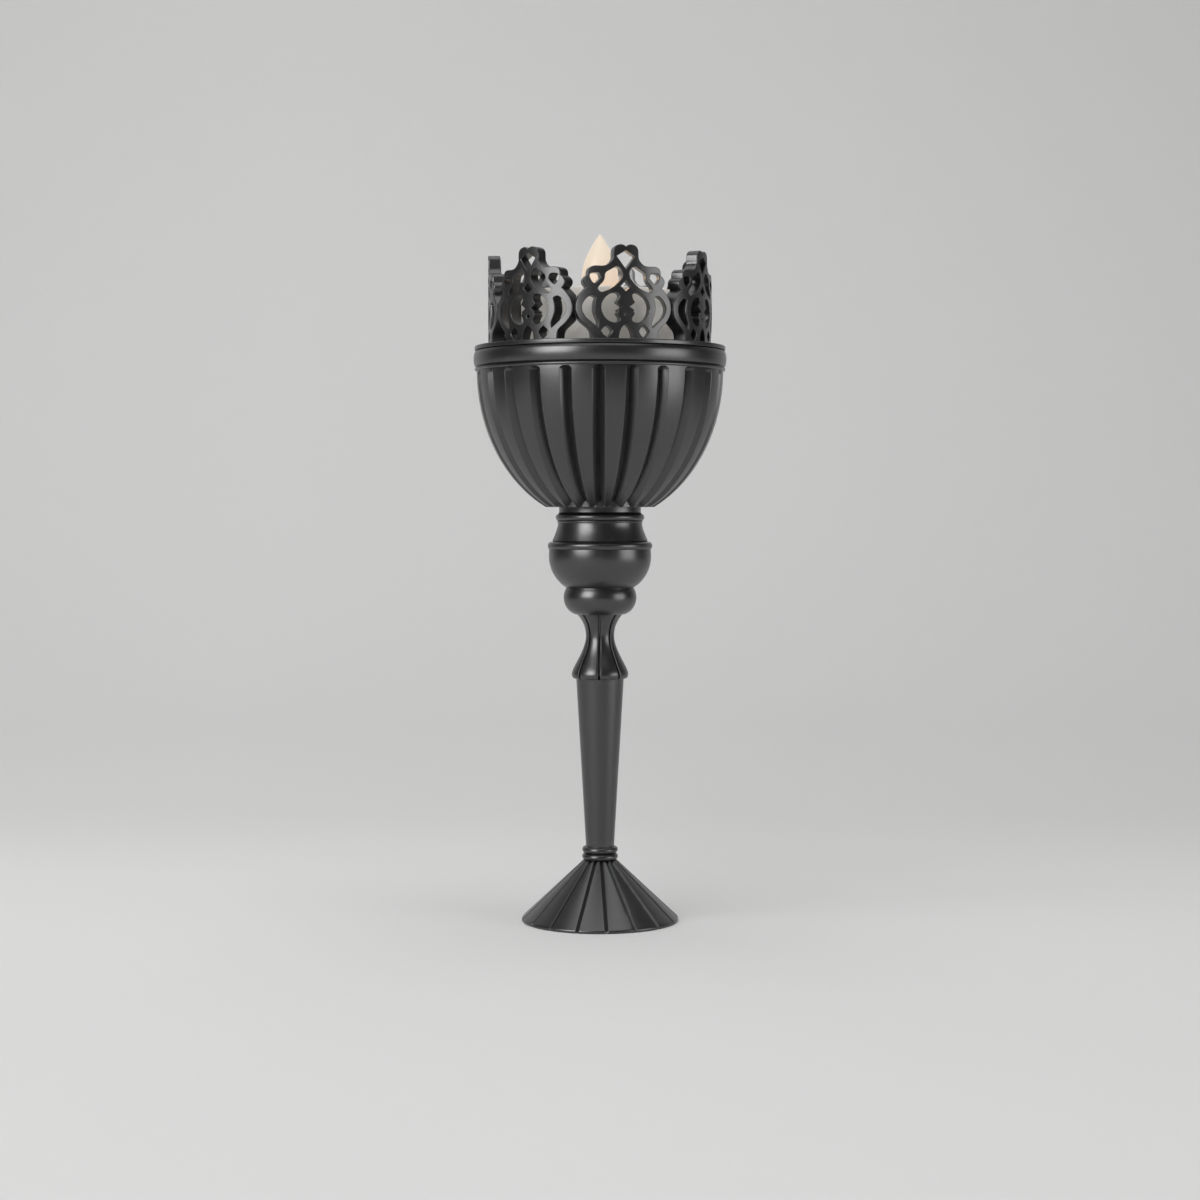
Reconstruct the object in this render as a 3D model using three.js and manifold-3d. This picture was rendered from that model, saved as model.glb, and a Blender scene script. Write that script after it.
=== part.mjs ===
import * as THREE from 'three';
import { mergeVertices } from 'three/addons/utils/BufferGeometryUtils.js';
import Module from 'manifold-3d';

// Goblet-shaped tea light holder with a pierced crown, and the battery tea light that stands in it.
// Millimetres, +Z up, origin on the table under the middle of the foot. The front looks along -Y,
// and turns are counted in degrees from the front towards +X.

// Clearances
const FIT_CLEARANCE = 0.3;
const ROD_CLEARANCE = 0.2;
const THREAD_CLEARANCE = 0.1;
const SPIGOT_CLEARANCE = 0.5;
const CUT_OVERRUN = 1;

// Battery tea light
const TEA_LIGHT_RADIUS = 19;
const TEA_LIGHT_HEIGHT = 19.1;
const SHELL_WALL = 2;
const SHELL_TOP_THICKNESS = 1.4;
const SHELL_EDGE_ROUND = 0.8;
const SHELL_REBATE = 0.8;
const DISH_DEPTH = 1.5;
const FLAME_RADIUS = 3.95;
const FLAME_NECK_RADIUS = 2.9;
const FLAME_BELLY_HEIGHT = 5.1;
const FLAME_TIP_LENGTH = 9.7;
const FLAME_FLANGE_WIDTH = 1.5;
const FLAME_FLANGE_THICKNESS = 1.1;
const FLAME_FULLNESS = 0.93;
const FLAME_WALL = 0.9;
const LED_RADIUS = 1.5;
const LED_BODY_LENGTH = 3;
const LED_FLANGE_WIDTH = 0.4;
const LED_FLANGE_THICKNESS = 0.8;
const LED_LEAD_WIDTH = 0.5;
const LED_LEAD_SPACING = 1.8;
const LED_LEAD_LENGTH = 5.2;
const BOARD_THICKNESS = 1;
const BOARD_GAP = 0.8;
const CELL_THICKNESS = 3.2;
const CONTACT_HEIGHT = 1.7;
const CONTACT_THICKNESS = 0.3;
const CONTACT_WIDTH = 3;
const CONTACT_LENGTH = 5;
const BASE_THICKNESS = 1.6;
const POST_RADIUS = 1.2;
const POST_COUNT = 3;
const COVER_INSET = 0.3;
const COVER_WALL = 0.9;
const COVER_RIM_HEIGHT = 1.4;
const LUG_LENGTH = 1.1;
const LUG_THICKNESS = 1;
const LUG_COUNT = 3;
const LUG_SPAN = 30;
const LUG_NOTCH_SPAN = 36;
const COVER_TURN = 45;
const COIN_SLOT_LENGTH = 14;
const COIN_SLOT_WIDTH = 1.6;
const COIN_SLOT_DEPTH = 0.6;
const SWITCH_TRAVEL = 2;
const SWITCH_KNOB_LENGTH = 1.8;
const SWITCH_KNOB_WIDTH = 0.8;
const SWITCH_TAB_LENGTH = 3.6;
const SWITCH_TAB_WIDTH = 1.9;
const SWITCH_TAB_HEIGHT = 1.2;
const SWITCH_CASE_WALL = 0.45;
const SWITCH_KNOB_RECESS = 0.4;

// Pan that carries the tea light in the rim
const PAN_CLEARANCE = 0.6;
const PAN_WALL = 0.8;
const PAN_FLOOR = 0.8;
const PAN_DEPTH = 7.65;
const PAN_FLANGE_WIDTH = 1;
const PAN_FLANGE_THICKNESS = 0.9;

// Crown of pierced panels
const PANEL_COUNT = 7;
const PANEL_START = 12.9;
const CROWN_INSET = 0.28;
const CROWN_THICKNESS = 2.35;
const CROWN_HEIGHT = 19.6;
const PANEL_GAP = 0.3;
const PANEL_SIDE_SPACE = 0.33;

// Rim
const RIM_SHELF = 2.97;
const RIM_UPPER_LIP = 0.88;
const RIM_BAND_HEIGHT = 3.35;
const RIM_BAND_BULGE = 0.64;
const RIM_LOWER_LIP = 0.72;
const RIM_GROOVE_WIDTH = 0.2;
const RIM_GROOVE_DEPTH = 0.4;
const RIM_EDGE_ROUND = 0.15;
const RIM_OVERHANG = 0.46;
const RIM_SPIGOT_DEPTH = 1.5;

// Bowl
const BOWL_HEIGHT = 29.53;
const BOWL_BASE_RADIUS = 11.9;
const BOWL_WALL = 3.4;
const BOWL_FLOOR = 4;
const BOWL_WELL_RADIUS = 8;
const FLUTE_COUNT = 24;
const FLUTE_START = -0.57;
const FLUTE_WIDTH = 2.66;
const FLUTE_DEPTH = 1.33;
const FLUTE_TOP_MARGIN = 0.1;
const FLUTE_HEAD_LENGTH = 0.8;

// Neck and its bead
const NECK_RADIUS = 9.2;
const NECK_FLARE = 1.38;
const NECK_FLARE_HEIGHT = 4.75;
const NECK_FLARE_KNEE = 3;
const NECK_BEAD_HEIGHT = 1.4;
const NECK_BEAD_BULGE = 0.5;
const NECK_TOP_HEIGHT = 1.45;
const NECK_TOP_INSET = 0.25;

// Knops
const KNOP_RING_RADIUS = 11.45;
const KNOP_RING_HEIGHT = 1.25;
const KNOP_RING_BULGE = 0.6;
const UPPER_KNOP_RADIUS = 11.2;
const UPPER_KNOP_CORE = 3;
const UPPER_KNOP_LOWER_HEIGHT = 6.85;
const UPPER_KNOP_UPPER_HEIGHT = 1.85;
const UPPER_KNOP_FOOT_INSET = 3.7;
const UPPER_KNOP_TOP_INSET = 0.12;
const LOWER_KNOP_RADIUS = 7.98;
const LOWER_KNOP_CORE = 4.3;
const LOWER_KNOP_LOWER_HEIGHT = 3.68;
const LOWER_KNOP_UPPER_HEIGHT = 2.17;
const LOWER_KNOP_FOOT_INSET = 2.38;
const LOWER_KNOP_TOP_INSET = 0.68;

// Skirt
const SKIRT_WAIST_RADIUS = 3.1;
const SKIRT_FLARE = 3.1;
const SKIRT_FLARE_HEIGHT = 8.3;
const SKIRT_LIP_HEIGHT = 1;
const SKIRT_LIP_ROUND = 0.6;
const SKIRT_TOP_FLARE = 2.05;
const SKIRT_TOP_HEIGHT = 4.8;
const SKIRT_LIP_PULL = 1.4;
const SKIRT_WAIST_PULL = 3.1;
const SKIRT_TOP_PULL = 2.7;
const SKIRT_GROOVE_COUNT = 8;
const SKIRT_GROOVE_START = -2;
const SKIRT_GROOVE_WIDTH = 0.35;
const SKIRT_GROOVE_DEPTH = 0.3;

// Stem and bead rings
const STEM_LENGTH = 36.95;
const STEM_TOP_RADIUS = 5.22;
const STEM_BOTTOM_RADIUS = 3.08;
const BEAD_RADIUS = 3.93;
const BEAD_HEIGHT = 1.5;
const BEAD_BULGE = 0.75;

// Foot
const FOOT_RADIUS = 17.2;
const FOOT_HEIGHT = 13.4;
const FOOT_EDGE = 0.45;
const FOOT_TOP_RADIUS = 3.6;
const FOOT_RIM_WIDTH = 2;
const FOOT_GROOVE_COUNT = 17;
const FOOT_GROOVE_START = 4.7;
const FOOT_GROOVE_WIDTH = 0.8;
const FOOT_GROOVE_DEPTH = 0.45;
const PAD_THICKNESS = 1.2;

// Tie rod and its hardware
const ROD_RADIUS = 1.5;
const ROD_END = 0.6;
const NUT_WIDTH = 5.5;
const NUT_SIDES = 6;
const NUT_HEIGHT = 2.4;
const WASHER_RADIUS = 3.5;
const WASHER_THICKNESS = 0.5;

// Sides of the round pieces and steps along their curves
const SLIM_SIDES = 24;
const COLUMN_SIDES = 28;
const WIDE_SIDES = 40;
const BORE_SIDES = 12;
const ROUND_STEPS = 4;
const CURVE_STEPS = 6;
const POST_SIDES = 6;
const BOWL_STEPS = 5;

// Panel drawing: right half of a panel, points as [across, up], stretched to the crown's sizes
const DRAWN_NOTCH = [0, 19.12];
const DRAWN_EDGE = [
  [[1.25, 19.6], [2.3, 19.1], [2.7, 18.1], [2.76, 16.75], [3.4, 15.75], [5.1, 15.15], [6.4, 15.2],
    [7.5, 14.65], [7.8, 13.35]],
  [[8.4, 12.85], [8.68, 12], [8.1, 10.75]],
  [[9.2, 9.5], [9.95, 8.2], [10.22, 6.7], [9.95, 5.1], [9.2, 3.8], [8.2, 2.85], [7.2, 1.7], [6.95, 0]],
  [[1.5, 0]],
  [[1.3, 1.4], [0.8, 2.45], [0, 3.2]],
];
const DRAWN_MIDDLE_HOLES = [
  [[[0, 18.35]], [[1.92, 17.15]], [[0, 14.45]], [[-1.92, 17.15]]],
  [[[0, 12.15]], [[1.08, 10.95]], [[0, 9.9]], [[-1.08, 10.95]]],
  [[[0, 5.5]], [[0.38, 5.05]], [[0, 4.6]], [[-0.38, 5.05]]],
];
const DRAWN_SIDE_HOLES = [
  [[[2.1, 15]], [[1.2, 14.6], [0.8, 13.6], [1.2, 12.2], [2.4, 11], [3.9, 10.1], [5.2, 9.78], [5.8, 10.4],
    [4.8, 11.75], [4.4, 12.9], [3.9, 14], [2.1, 15]]],
  [[[5.2, 12.7]], [[5.55, 13.6], [6.35, 13.75], [7.25, 13.55], [7.4, 12.75], [6.5, 11.55], [5.2, 12.7]]],
  [[[2, 7.6]], [[1.45, 8.7], [1.65, 9.35], [2.6, 9.45], [4, 8.6], [4.85, 7.2], [4.8, 5.8], [4, 4.35],
    [2.6, 3.6], [1.5, 3.8], [1.4, 4.5], [1.95, 5.3]],
  [[1.65, 5.8]], [[1.85, 6.05]], [[0.85, 6.7]], [[2, 7.6]]],
  [[[7.2, 9.05]], [[8.3, 8.2], [8.9, 7], [8.85, 5.8], [8.1, 4.5], [5.85, 2.5]],
  [[5.9, 4], [6.5, 5.6], [6.55, 7.2], [6.3, 8.7], [7.2, 9.05]]],
  [[[3.95, 2.75]], [[5, 1.72]], [[3.9, 0.5]], [[2.94, 1.65]]],
];

// Sizes that follow from the ones above
const DEGREE = Math.PI / 180;
const DRAWN_HALF_WIDTH = Math.max(...DRAWN_EDGE.flat().map(([across]) => across));
const DRAWN_HEIGHT = Math.max(...DRAWN_EDGE.flat().map(([, up]) => up));
const PAN_INNER_RADIUS = TEA_LIGHT_RADIUS + PAN_CLEARANCE;
const PAN_OUTER_RADIUS = PAN_INNER_RADIUS + PAN_WALL;
const PAN_FLANGE_RADIUS = PAN_OUTER_RADIUS + PAN_FLANGE_WIDTH;
const RIM_BORE = PAN_OUTER_RADIUS + FIT_CLEARANCE;
const RIM_COUNTERBORE = PAN_FLANGE_RADIUS + FIT_CLEARANCE;
const CROWN_INNER_RADIUS = RIM_COUNTERBORE + CROWN_INSET;
const CROWN_RADIUS = CROWN_INNER_RADIUS + CROWN_THICKNESS;
const RIM_RADIUS = CROWN_RADIUS + RIM_SHELF;
const RIM_HEIGHT = RIM_LOWER_LIP + RIM_BAND_HEIGHT + RIM_UPPER_LIP + 2 * RIM_GROOVE_WIDTH;
const BOWL_RADIUS = RIM_RADIUS - RIM_OVERHANG;
const BOWL_MOUTH_RADIUS = BOWL_RADIUS - BOWL_WALL;
const BORE_RADIUS = ROD_RADIUS + ROD_CLEARANCE;
const SKIRT_HEIGHT = SKIRT_LIP_HEIGHT + SKIRT_FLARE_HEIGHT + SKIRT_TOP_HEIGHT;
const LOWER_KNOP_HEIGHT = LOWER_KNOP_LOWER_HEIGHT + LOWER_KNOP_UPPER_HEIGHT;
const UPPER_KNOP_HEIGHT = UPPER_KNOP_LOWER_HEIGHT + UPPER_KNOP_UPPER_HEIGHT;
const NECK_HEIGHT = NECK_FLARE_HEIGHT + NECK_BEAD_HEIGHT + NECK_TOP_HEIGHT;

// Heights of the pieces' seats, each on top of the one before
const LOWER_BEAD_SEAT = FOOT_HEIGHT;
const UPPER_BEAD_SEAT = LOWER_BEAD_SEAT + BEAD_HEIGHT;
const STEM_SEAT = UPPER_BEAD_SEAT + BEAD_HEIGHT;
const SKIRT_SEAT = STEM_SEAT + STEM_LENGTH;
const LOWER_KNOP_SEAT = SKIRT_SEAT + SKIRT_HEIGHT;
const UPPER_KNOP_SEAT = LOWER_KNOP_SEAT + LOWER_KNOP_HEIGHT;
const KNOP_RING_SEAT = UPPER_KNOP_SEAT + UPPER_KNOP_HEIGHT;
const NECK_SEAT = KNOP_RING_SEAT + KNOP_RING_HEIGHT;
const BOWL_SEAT = NECK_SEAT + NECK_HEIGHT;
const RIM_SEAT = BOWL_SEAT + BOWL_HEIGHT;
const RIM_TOP = RIM_SEAT + RIM_HEIGHT;
const TEA_LIGHT_SEAT = RIM_TOP - PAN_DEPTH;
const ROD_STACK = WASHER_THICKNESS + NUT_HEIGHT + ROD_END;
const NUT_POCKET_TOP = PAD_THICKNESS + ROD_STACK + ROD_CLEARANCE;

// Materials
const satinBlack = new THREE.MeshStandardMaterial({ color: 0x2a2a2c, roughness: 0.45, metalness: 0.3 });
const felt = new THREE.MeshStandardMaterial({ color: 0x1c1c1e, roughness: 1, metalness: 0 });
const steel = new THREE.MeshStandardMaterial({ color: 0xb4b6b8, roughness: 0.35, metalness: 1 });
const ivory = new THREE.MeshStandardMaterial({ color: 0xe6ddd0, roughness: 0.6, metalness: 0 });
const flamePale = new THREE.MeshStandardMaterial({ color: 0xfae2cd, roughness: 0.5, metalness: 0 });
const lens = new THREE.MeshStandardMaterial({ color: 0xffd9a0, roughness: 0.15, metalness: 0 });
const boardGreen = new THREE.MeshStandardMaterial({ color: 0x2f6b45, roughness: 0.5, metalness: 0 });
const switchBlack = new THREE.MeshStandardMaterial({ color: 0x18181a, roughness: 0.5, metalness: 0 });

const wasm = await Module();
wasm.setup();

// Closed solid from a geometry, with the collapsed triangles on a turning axis left out
function toSolid(geometry) {
  const bare = geometry.clone();
  bare.deleteAttribute('normal');
  bare.deleteAttribute('uv');
  const merged = mergeVertices(bare);
  const corners = [];
  for (let i = 0; i < merged.index.count; i += 3) {
    const [a, b, c] = [0, 1, 2].map((k) => merged.index.getX(i + k));
    if (a !== b && b !== c && c !== a) corners.push(a, b, c);
  }
  const vertProperties = new Float32Array(merged.attributes.position.array);
  const triVerts = new Uint32Array(corners);
  return new wasm.Manifold(new wasm.Mesh({ numProp: 3, vertProperties, triVerts }));
}

// Geometry of a finished solid
function toGeometry(solid) {
  const mesh = solid.getMesh();
  const geometry = new THREE.BufferGeometry();
  geometry.setAttribute('position', new THREE.BufferAttribute(new Float32Array(mesh.vertProperties), 3));
  geometry.setIndex(new THREE.BufferAttribute(new Uint32Array(mesh.triVerts), 1));
  geometry.computeVertexNormals();
  return geometry;
}

// Mesh of one piece, raised to its seat
function piece(name, geometry, material, seat = 0) {
  const mesh = new THREE.Mesh(geometry, material);
  mesh.name = name;
  mesh.position.z = seat;
  return mesh;
}

// Piece turned about the axis from a closed outline of [radius, height] points, up the outside
function turned(outline, sides) {
  const points = outline.map(([radius, height]) => new THREE.Vector2(radius, height));
  points.push(points[0].clone());
  return new THREE.LatheGeometry(points, sides).rotateX(Math.PI / 2);
}

// Flat shape raised to a thickness from the given height
function raised(shape, thickness, height = 0, curveSegments = BORE_SIDES / 2) {
  const options = { depth: thickness, bevelEnabled: false, curveSegments };
  return new THREE.ExtrudeGeometry(shape, options).translate(0, 0, height);
}

function box(width, depth, height, x, y, bottom) {
  return new THREE.BoxGeometry(width, depth, height).translate(x, y, bottom + height / 2);
}

function circle(radius) {
  return new THREE.Shape().absarc(0, 0, radius, 0, 2 * Math.PI);
}

// Evenly spaced turn of one copy in a ring
function turnOf(index, count, start) {
  return (start + (index * 360) / count) * DEGREE;
}

// Cuts a ring of copies of a cutter, made at the front, out of a solid
function cutRing(solid, cutter, count, start) {
  let cut = solid;
  for (let i = 0; i < count; i += 1) {
    const copy = cutter.clone().rotateZ(turnOf(i, count, start));
    cut = cut.subtract(toSolid(copy));
  }
  return cut;
}

// Bar of triangular section along stations at the front, its ridge turned inwards. Each station is a point
// [radius, height] of the surface, its outward direction and the ridge's depth there; the sides open at the
// slope of a groove of the given width and depth, and reach past the surface
function wedge(stations, width, depth) {
  const corners = [];
  const faces = [];
  stations.forEach(({ point, out, deep }, i) => {
    const half = ((CUT_OVERRUN + deep) * width) / (2 * depth);
    const ridge = [0, out.x * deep - point[0], point[1] - out.y * deep];
    const outer = [-(point[0] + out.x * CUT_OVERRUN), point[1] + out.y * CUT_OVERRUN];
    corners.push(...ridge, half, ...outer, -half, ...outer);
    if (i === 0) return;
    for (let side = 0; side < 3; side += 1) {
      const next = (side + 1) % 3;
      const [a, b, c, d] = [3 * i - 3 + side, 3 * i + side, 3 * i + next, 3 * i - 3 + next];
      faces.push(a, b, c, a, c, d);
    }
  });
  const last = 3 * stations.length - 3;
  faces.push(0, 1, 2, last, last + 2, last + 1);
  const geometry = new THREE.BufferGeometry();
  geometry.setAttribute('position', new THREE.Float32BufferAttribute(corners, 3));
  return geometry.setIndex(faces);
}

// Points of an ellipse's stretch from its narrow end up to its belly, fuller on a wider core
function swell(belly, inset, height, steps, core = 0) {
  const lowest = Math.acos((belly - inset - core) / (belly - core));
  const rise = height / Math.sin(lowest);
  const points = [];
  for (let i = 0; i <= steps; i += 1) {
    const angle = lowest * (1 - i / steps);
    points.push([core + (belly - core) * Math.cos(angle), height - rise * Math.sin(angle)]);
  }
  return points;
}

// The same stretch turned over, from the belly up to its narrow end
function taper(belly, inset, height, steps) {
  return swell(belly, inset, height, steps).reverse().map(([radius, up]) => [radius, height - up]);
}

// Half-round bead on a core radius, from its lower to its upper edge
function bead(core, bulge, bottom, height, steps) {
  const points = [];
  for (let i = 0; i <= steps; i += 1) {
    const angle = (Math.PI * i) / steps;
    points.push([core + bulge * Math.sin(angle), bottom + (height * (1 - Math.cos(angle))) / 2]);
  }
  return points;
}

function curvePoints(curve, steps) {
  return curve.getPoints(steps).map((point) => [point.x, point.y]);
}

// Hollow outline: the outside from bottom to top, closed along a straight bore
function bored(outside, bore) {
  const bottom = outside[0][1];
  const top = outside[outside.length - 1][1];
  return [[bore, bottom], ...outside, [bore, top]];
}

// Foot: grooved cone with a recess for the pad and a pocket for the nut below
function makeFoot() {
  const padRecess = FOOT_RADIUS - FOOT_RIM_WIDTH;
  const pocket = Math.max(NUT_WIDTH / Math.sqrt(3), WASHER_RADIUS) + FIT_CLEARANCE;
  const cone = turned([
    [padRecess, 0], [FOOT_RADIUS, 0], [FOOT_RADIUS, FOOT_EDGE], [FOOT_TOP_RADIUS, FOOT_HEIGHT],
    [BORE_RADIUS, FOOT_HEIGHT], [BORE_RADIUS, NUT_POCKET_TOP], [pocket, NUT_POCKET_TOP],
    [pocket, PAD_THICKNESS], [padRecess, PAD_THICKNESS],
  ], 2 * FOOT_GROOVE_COUNT);
  cone.rotateZ((FOOT_GROOVE_START + 90 / FOOT_GROOVE_COUNT) * DEGREE);
  const along = new THREE.Vector2(FOOT_TOP_RADIUS - FOOT_RADIUS, FOOT_HEIGHT - FOOT_EDGE).normalize();
  const out = new THREE.Vector2(along.y, -along.x);
  const ends = [
    [FOOT_RADIUS - along.x * CUT_OVERRUN, FOOT_EDGE - along.y * CUT_OVERRUN],
    [FOOT_TOP_RADIUS + along.x * CUT_OVERRUN, FOOT_HEIGHT + along.y * CUT_OVERRUN],
  ];
  const stations = ends.map((point) => ({ point, out, deep: FOOT_GROOVE_DEPTH }));
  const groove = wedge(stations, FOOT_GROOVE_WIDTH, FOOT_GROOVE_DEPTH);
  return toGeometry(cutRing(toSolid(cone), groove, FOOT_GROOVE_COUNT, FOOT_GROOVE_START));
}

function makePad() {
  const radius = FOOT_RADIUS - FOOT_RIM_WIDTH - FIT_CLEARANCE;
  return new THREE.CylinderGeometry(radius, radius, PAD_THICKNESS, WIDE_SIDES)
    .rotateX(Math.PI / 2).translate(0, 0, PAD_THICKNESS / 2);
}

function makeBeadRing(radius, bulge, height, sides) {
  return turned(bored(bead(radius - bulge, bulge, 0, height, ROUND_STEPS), BORE_RADIUS), sides);
}

function makeStem() {
  return turned(bored([[STEM_BOTTOM_RADIUS, 0], [STEM_TOP_RADIUS, STEM_LENGTH]], BORE_RADIUS), SLIM_SIDES);
}

// Skirt: a rounded lip, a flare in to the waist and a flare out to the top, with narrow grooves down it
function makeSkirt() {
  const lipRadius = SKIRT_WAIST_RADIUS + SKIRT_FLARE;
  const waistHeight = SKIRT_LIP_HEIGHT + SKIRT_FLARE_HEIGHT;
  const lip = new THREE.QuadraticBezierCurve(
    new THREE.Vector2(lipRadius - SKIRT_LIP_ROUND, 0),
    new THREE.Vector2(lipRadius, 0),
    new THREE.Vector2(lipRadius, SKIRT_LIP_HEIGHT),
  );
  const flare = new THREE.CubicBezierCurve(
    new THREE.Vector2(lipRadius, SKIRT_LIP_HEIGHT),
    new THREE.Vector2(lipRadius, SKIRT_LIP_HEIGHT + SKIRT_LIP_PULL),
    new THREE.Vector2(SKIRT_WAIST_RADIUS, waistHeight - SKIRT_WAIST_PULL),
    new THREE.Vector2(SKIRT_WAIST_RADIUS, waistHeight),
  );
  const top = new THREE.QuadraticBezierCurve(
    new THREE.Vector2(SKIRT_WAIST_RADIUS, waistHeight),
    new THREE.Vector2(SKIRT_WAIST_RADIUS, waistHeight + SKIRT_TOP_PULL),
    new THREE.Vector2(SKIRT_WAIST_RADIUS + SKIRT_TOP_FLARE, SKIRT_HEIGHT),
  );
  const outside = [
    ...curvePoints(lip, 2),
    ...curvePoints(flare, ROUND_STEPS).slice(1),
    ...curvePoints(top, 2).slice(1),
  ];
  const last = outside[outside.length - 1];
  const line = [[outside[0][0], -CUT_OVERRUN], ...outside, [last[0], SKIRT_HEIGHT + CUT_OVERRUN]];
  const blade = new THREE.Shape([
    ...line.map(([radius, height]) => new THREE.Vector2(radius - SKIRT_GROOVE_DEPTH, height)),
    ...line.reverse().map(([radius, height]) => new THREE.Vector2(radius + CUT_OVERRUN, height)),
  ]);
  const groove = raised(blade, SKIRT_GROOVE_WIDTH, -SKIRT_GROOVE_WIDTH / 2)
    .rotateX(Math.PI / 2).rotateZ(-Math.PI / 2);
  const facing = (SKIRT_GROOVE_START + 90 / SKIRT_GROOVE_COUNT) * DEGREE;
  const body = toSolid(turned(bored(outside, BORE_RADIUS), 2 * SKIRT_GROOVE_COUNT).rotateZ(facing));
  return toGeometry(cutRing(body, groove, SKIRT_GROOVE_COUNT, SKIRT_GROOVE_START));
}

function makeKnop(belly, core, footInset, lowerHeight, topInset, upperHeight) {
  const lower = swell(belly, footInset, lowerHeight, ROUND_STEPS, core);
  const upper = taper(belly, topInset, upperHeight, 2).slice(1);
  const outside = [...lower, ...upper.map(([radius, height]) => [radius, lowerHeight + height])];
  return turned(bored(outside, BORE_RADIUS), COLUMN_SIDES);
}

// Neck: a flare in from the knop ring, a bead, and a plain top under the bowl
function makeNeck() {
  const topRadius = NECK_RADIUS - NECK_TOP_INSET;
  const flare = new THREE.QuadraticBezierCurve(
    new THREE.Vector2(NECK_RADIUS + NECK_FLARE, 0),
    new THREE.Vector2(NECK_RADIUS, NECK_FLARE_KNEE),
    new THREE.Vector2(NECK_RADIUS, NECK_FLARE_HEIGHT),
  );
  const outside = [
    ...curvePoints(flare, 4),
    ...bead(NECK_RADIUS, NECK_BEAD_BULGE, NECK_FLARE_HEIGHT, NECK_BEAD_HEIGHT, ROUND_STEPS).slice(1),
    [topRadius, NECK_FLARE_HEIGHT + NECK_BEAD_HEIGHT],
    [topRadius, NECK_HEIGHT],
  ];
  return turned(bored(outside, BORE_RADIUS), COLUMN_SIDES);
}

// Bowl: a hollow half ellipse on a flat base, with vee flutes that run out at the base and end in a point
function makeBowl() {
  const outside = swell(BOWL_RADIUS, BOWL_RADIUS - BOWL_BASE_RADIUS, BOWL_HEIGHT, BOWL_STEPS);
  const wellHeight = BOWL_HEIGHT - BOWL_FLOOR;
  const well = swell(BOWL_MOUTH_RADIUS, BOWL_MOUTH_RADIUS - BOWL_WELL_RADIUS, wellHeight, ROUND_STEPS)
    .reverse().map(([radius, height]) => [radius, height + BOWL_FLOOR]);
  const facing = (FLUTE_START + 90 / FLUTE_COUNT) * DEGREE;
  const outline = [[BORE_RADIUS, 0], ...outside, ...well, [BORE_RADIUS, BOWL_FLOOR]];
  const shell = turned(outline, 2 * FLUTE_COUNT).rotateZ(facing);
  const lowest = Math.acos(BOWL_BASE_RADIUS / BOWL_RADIUS);
  const rise = BOWL_HEIGHT / Math.sin(lowest);
  const headFoot = Math.asin((FLUTE_TOP_MARGIN + FLUTE_HEAD_LENGTH) / rise);
  const headTip = Math.asin(FLUTE_TOP_MARGIN / rise);
  const station = (angle, deep) => ({
    point: [BOWL_RADIUS * Math.cos(angle), BOWL_HEIGHT - rise * Math.sin(angle)],
    out: new THREE.Vector2(Math.cos(angle) / BOWL_RADIUS, -Math.sin(angle) / rise).normalize(),
    deep,
  });
  const stations = [station(lowest + (2 * CUT_OVERRUN) / BOWL_BASE_RADIUS, FLUTE_DEPTH)];
  for (let i = 0; i < BOWL_STEPS; i += 1) {
    stations.push(station(lowest * (1 - i / BOWL_STEPS), FLUTE_DEPTH));
  }
  stations.push(station(headFoot, FLUTE_DEPTH), station(headTip, 0));
  const flute = wedge(stations, FLUTE_WIDTH, FLUTE_DEPTH);
  return toGeometry(cutRing(toSolid(shell), flute, FLUTE_COUNT, FLUTE_START));
}

// Rim: lower lip, rounded band and upper lip, with a spigot in the bowl and a ledge for the pan
function makeRim() {
  const bandBottom = RIM_LOWER_LIP + RIM_GROOVE_WIDTH;
  const bandTop = bandBottom + RIM_BAND_HEIGHT;
  const grooveRadius = RIM_RADIUS - RIM_GROOVE_DEPTH;
  const spigot = BOWL_MOUTH_RADIUS - SPIGOT_CLEARANCE;
  const ledge = RIM_HEIGHT - PAN_FLANGE_THICKNESS;
  return turned([
    [RIM_BORE, -RIM_SPIGOT_DEPTH], [spigot, -RIM_SPIGOT_DEPTH], [spigot, 0],
    [RIM_RADIUS - RIM_EDGE_ROUND, 0], [RIM_RADIUS, RIM_EDGE_ROUND], [RIM_RADIUS, RIM_LOWER_LIP],
    [grooveRadius, RIM_LOWER_LIP],
    ...bead(grooveRadius, RIM_BAND_BULGE, bandBottom, RIM_BAND_HEIGHT, ROUND_STEPS),
    [grooveRadius, bandTop + RIM_GROOVE_WIDTH], [RIM_RADIUS, bandTop + RIM_GROOVE_WIDTH],
    [RIM_RADIUS, RIM_HEIGHT - RIM_EDGE_ROUND], [RIM_RADIUS - RIM_EDGE_ROUND, RIM_HEIGHT],
    [RIM_COUNTERBORE, RIM_HEIGHT], [RIM_COUNTERBORE, ledge], [RIM_BORE, ledge],
  ], WIDE_SIDES);
}

// Pan: a shallow cup on a flange that lies in the rim, its outline counted from the pan floor
function makePan() {
  const top = PAN_DEPTH;
  const ledge = top - PAN_FLANGE_THICKNESS;
  return turned([
    [0, -PAN_FLOOR], [PAN_OUTER_RADIUS, -PAN_FLOOR], [PAN_OUTER_RADIUS, ledge], [PAN_FLANGE_RADIUS, ledge],
    [PAN_FLANGE_RADIUS, top], [PAN_INNER_RADIUS, top], [PAN_INNER_RADIUS, 0], [0, 0],
  ], WIDE_SIDES);
}

// Adds the drawn stretches to a path: one point is a straight run, more points are a smooth one
function follow(path, stretches) {
  for (const stretch of stretches) {
    const points = stretch.map(([across, up]) => new THREE.Vector2(across, up));
    if (points.length === 1) path.lineTo(points[0].x, points[0].y);
    else path.splineThru(points);
  }
}

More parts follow.
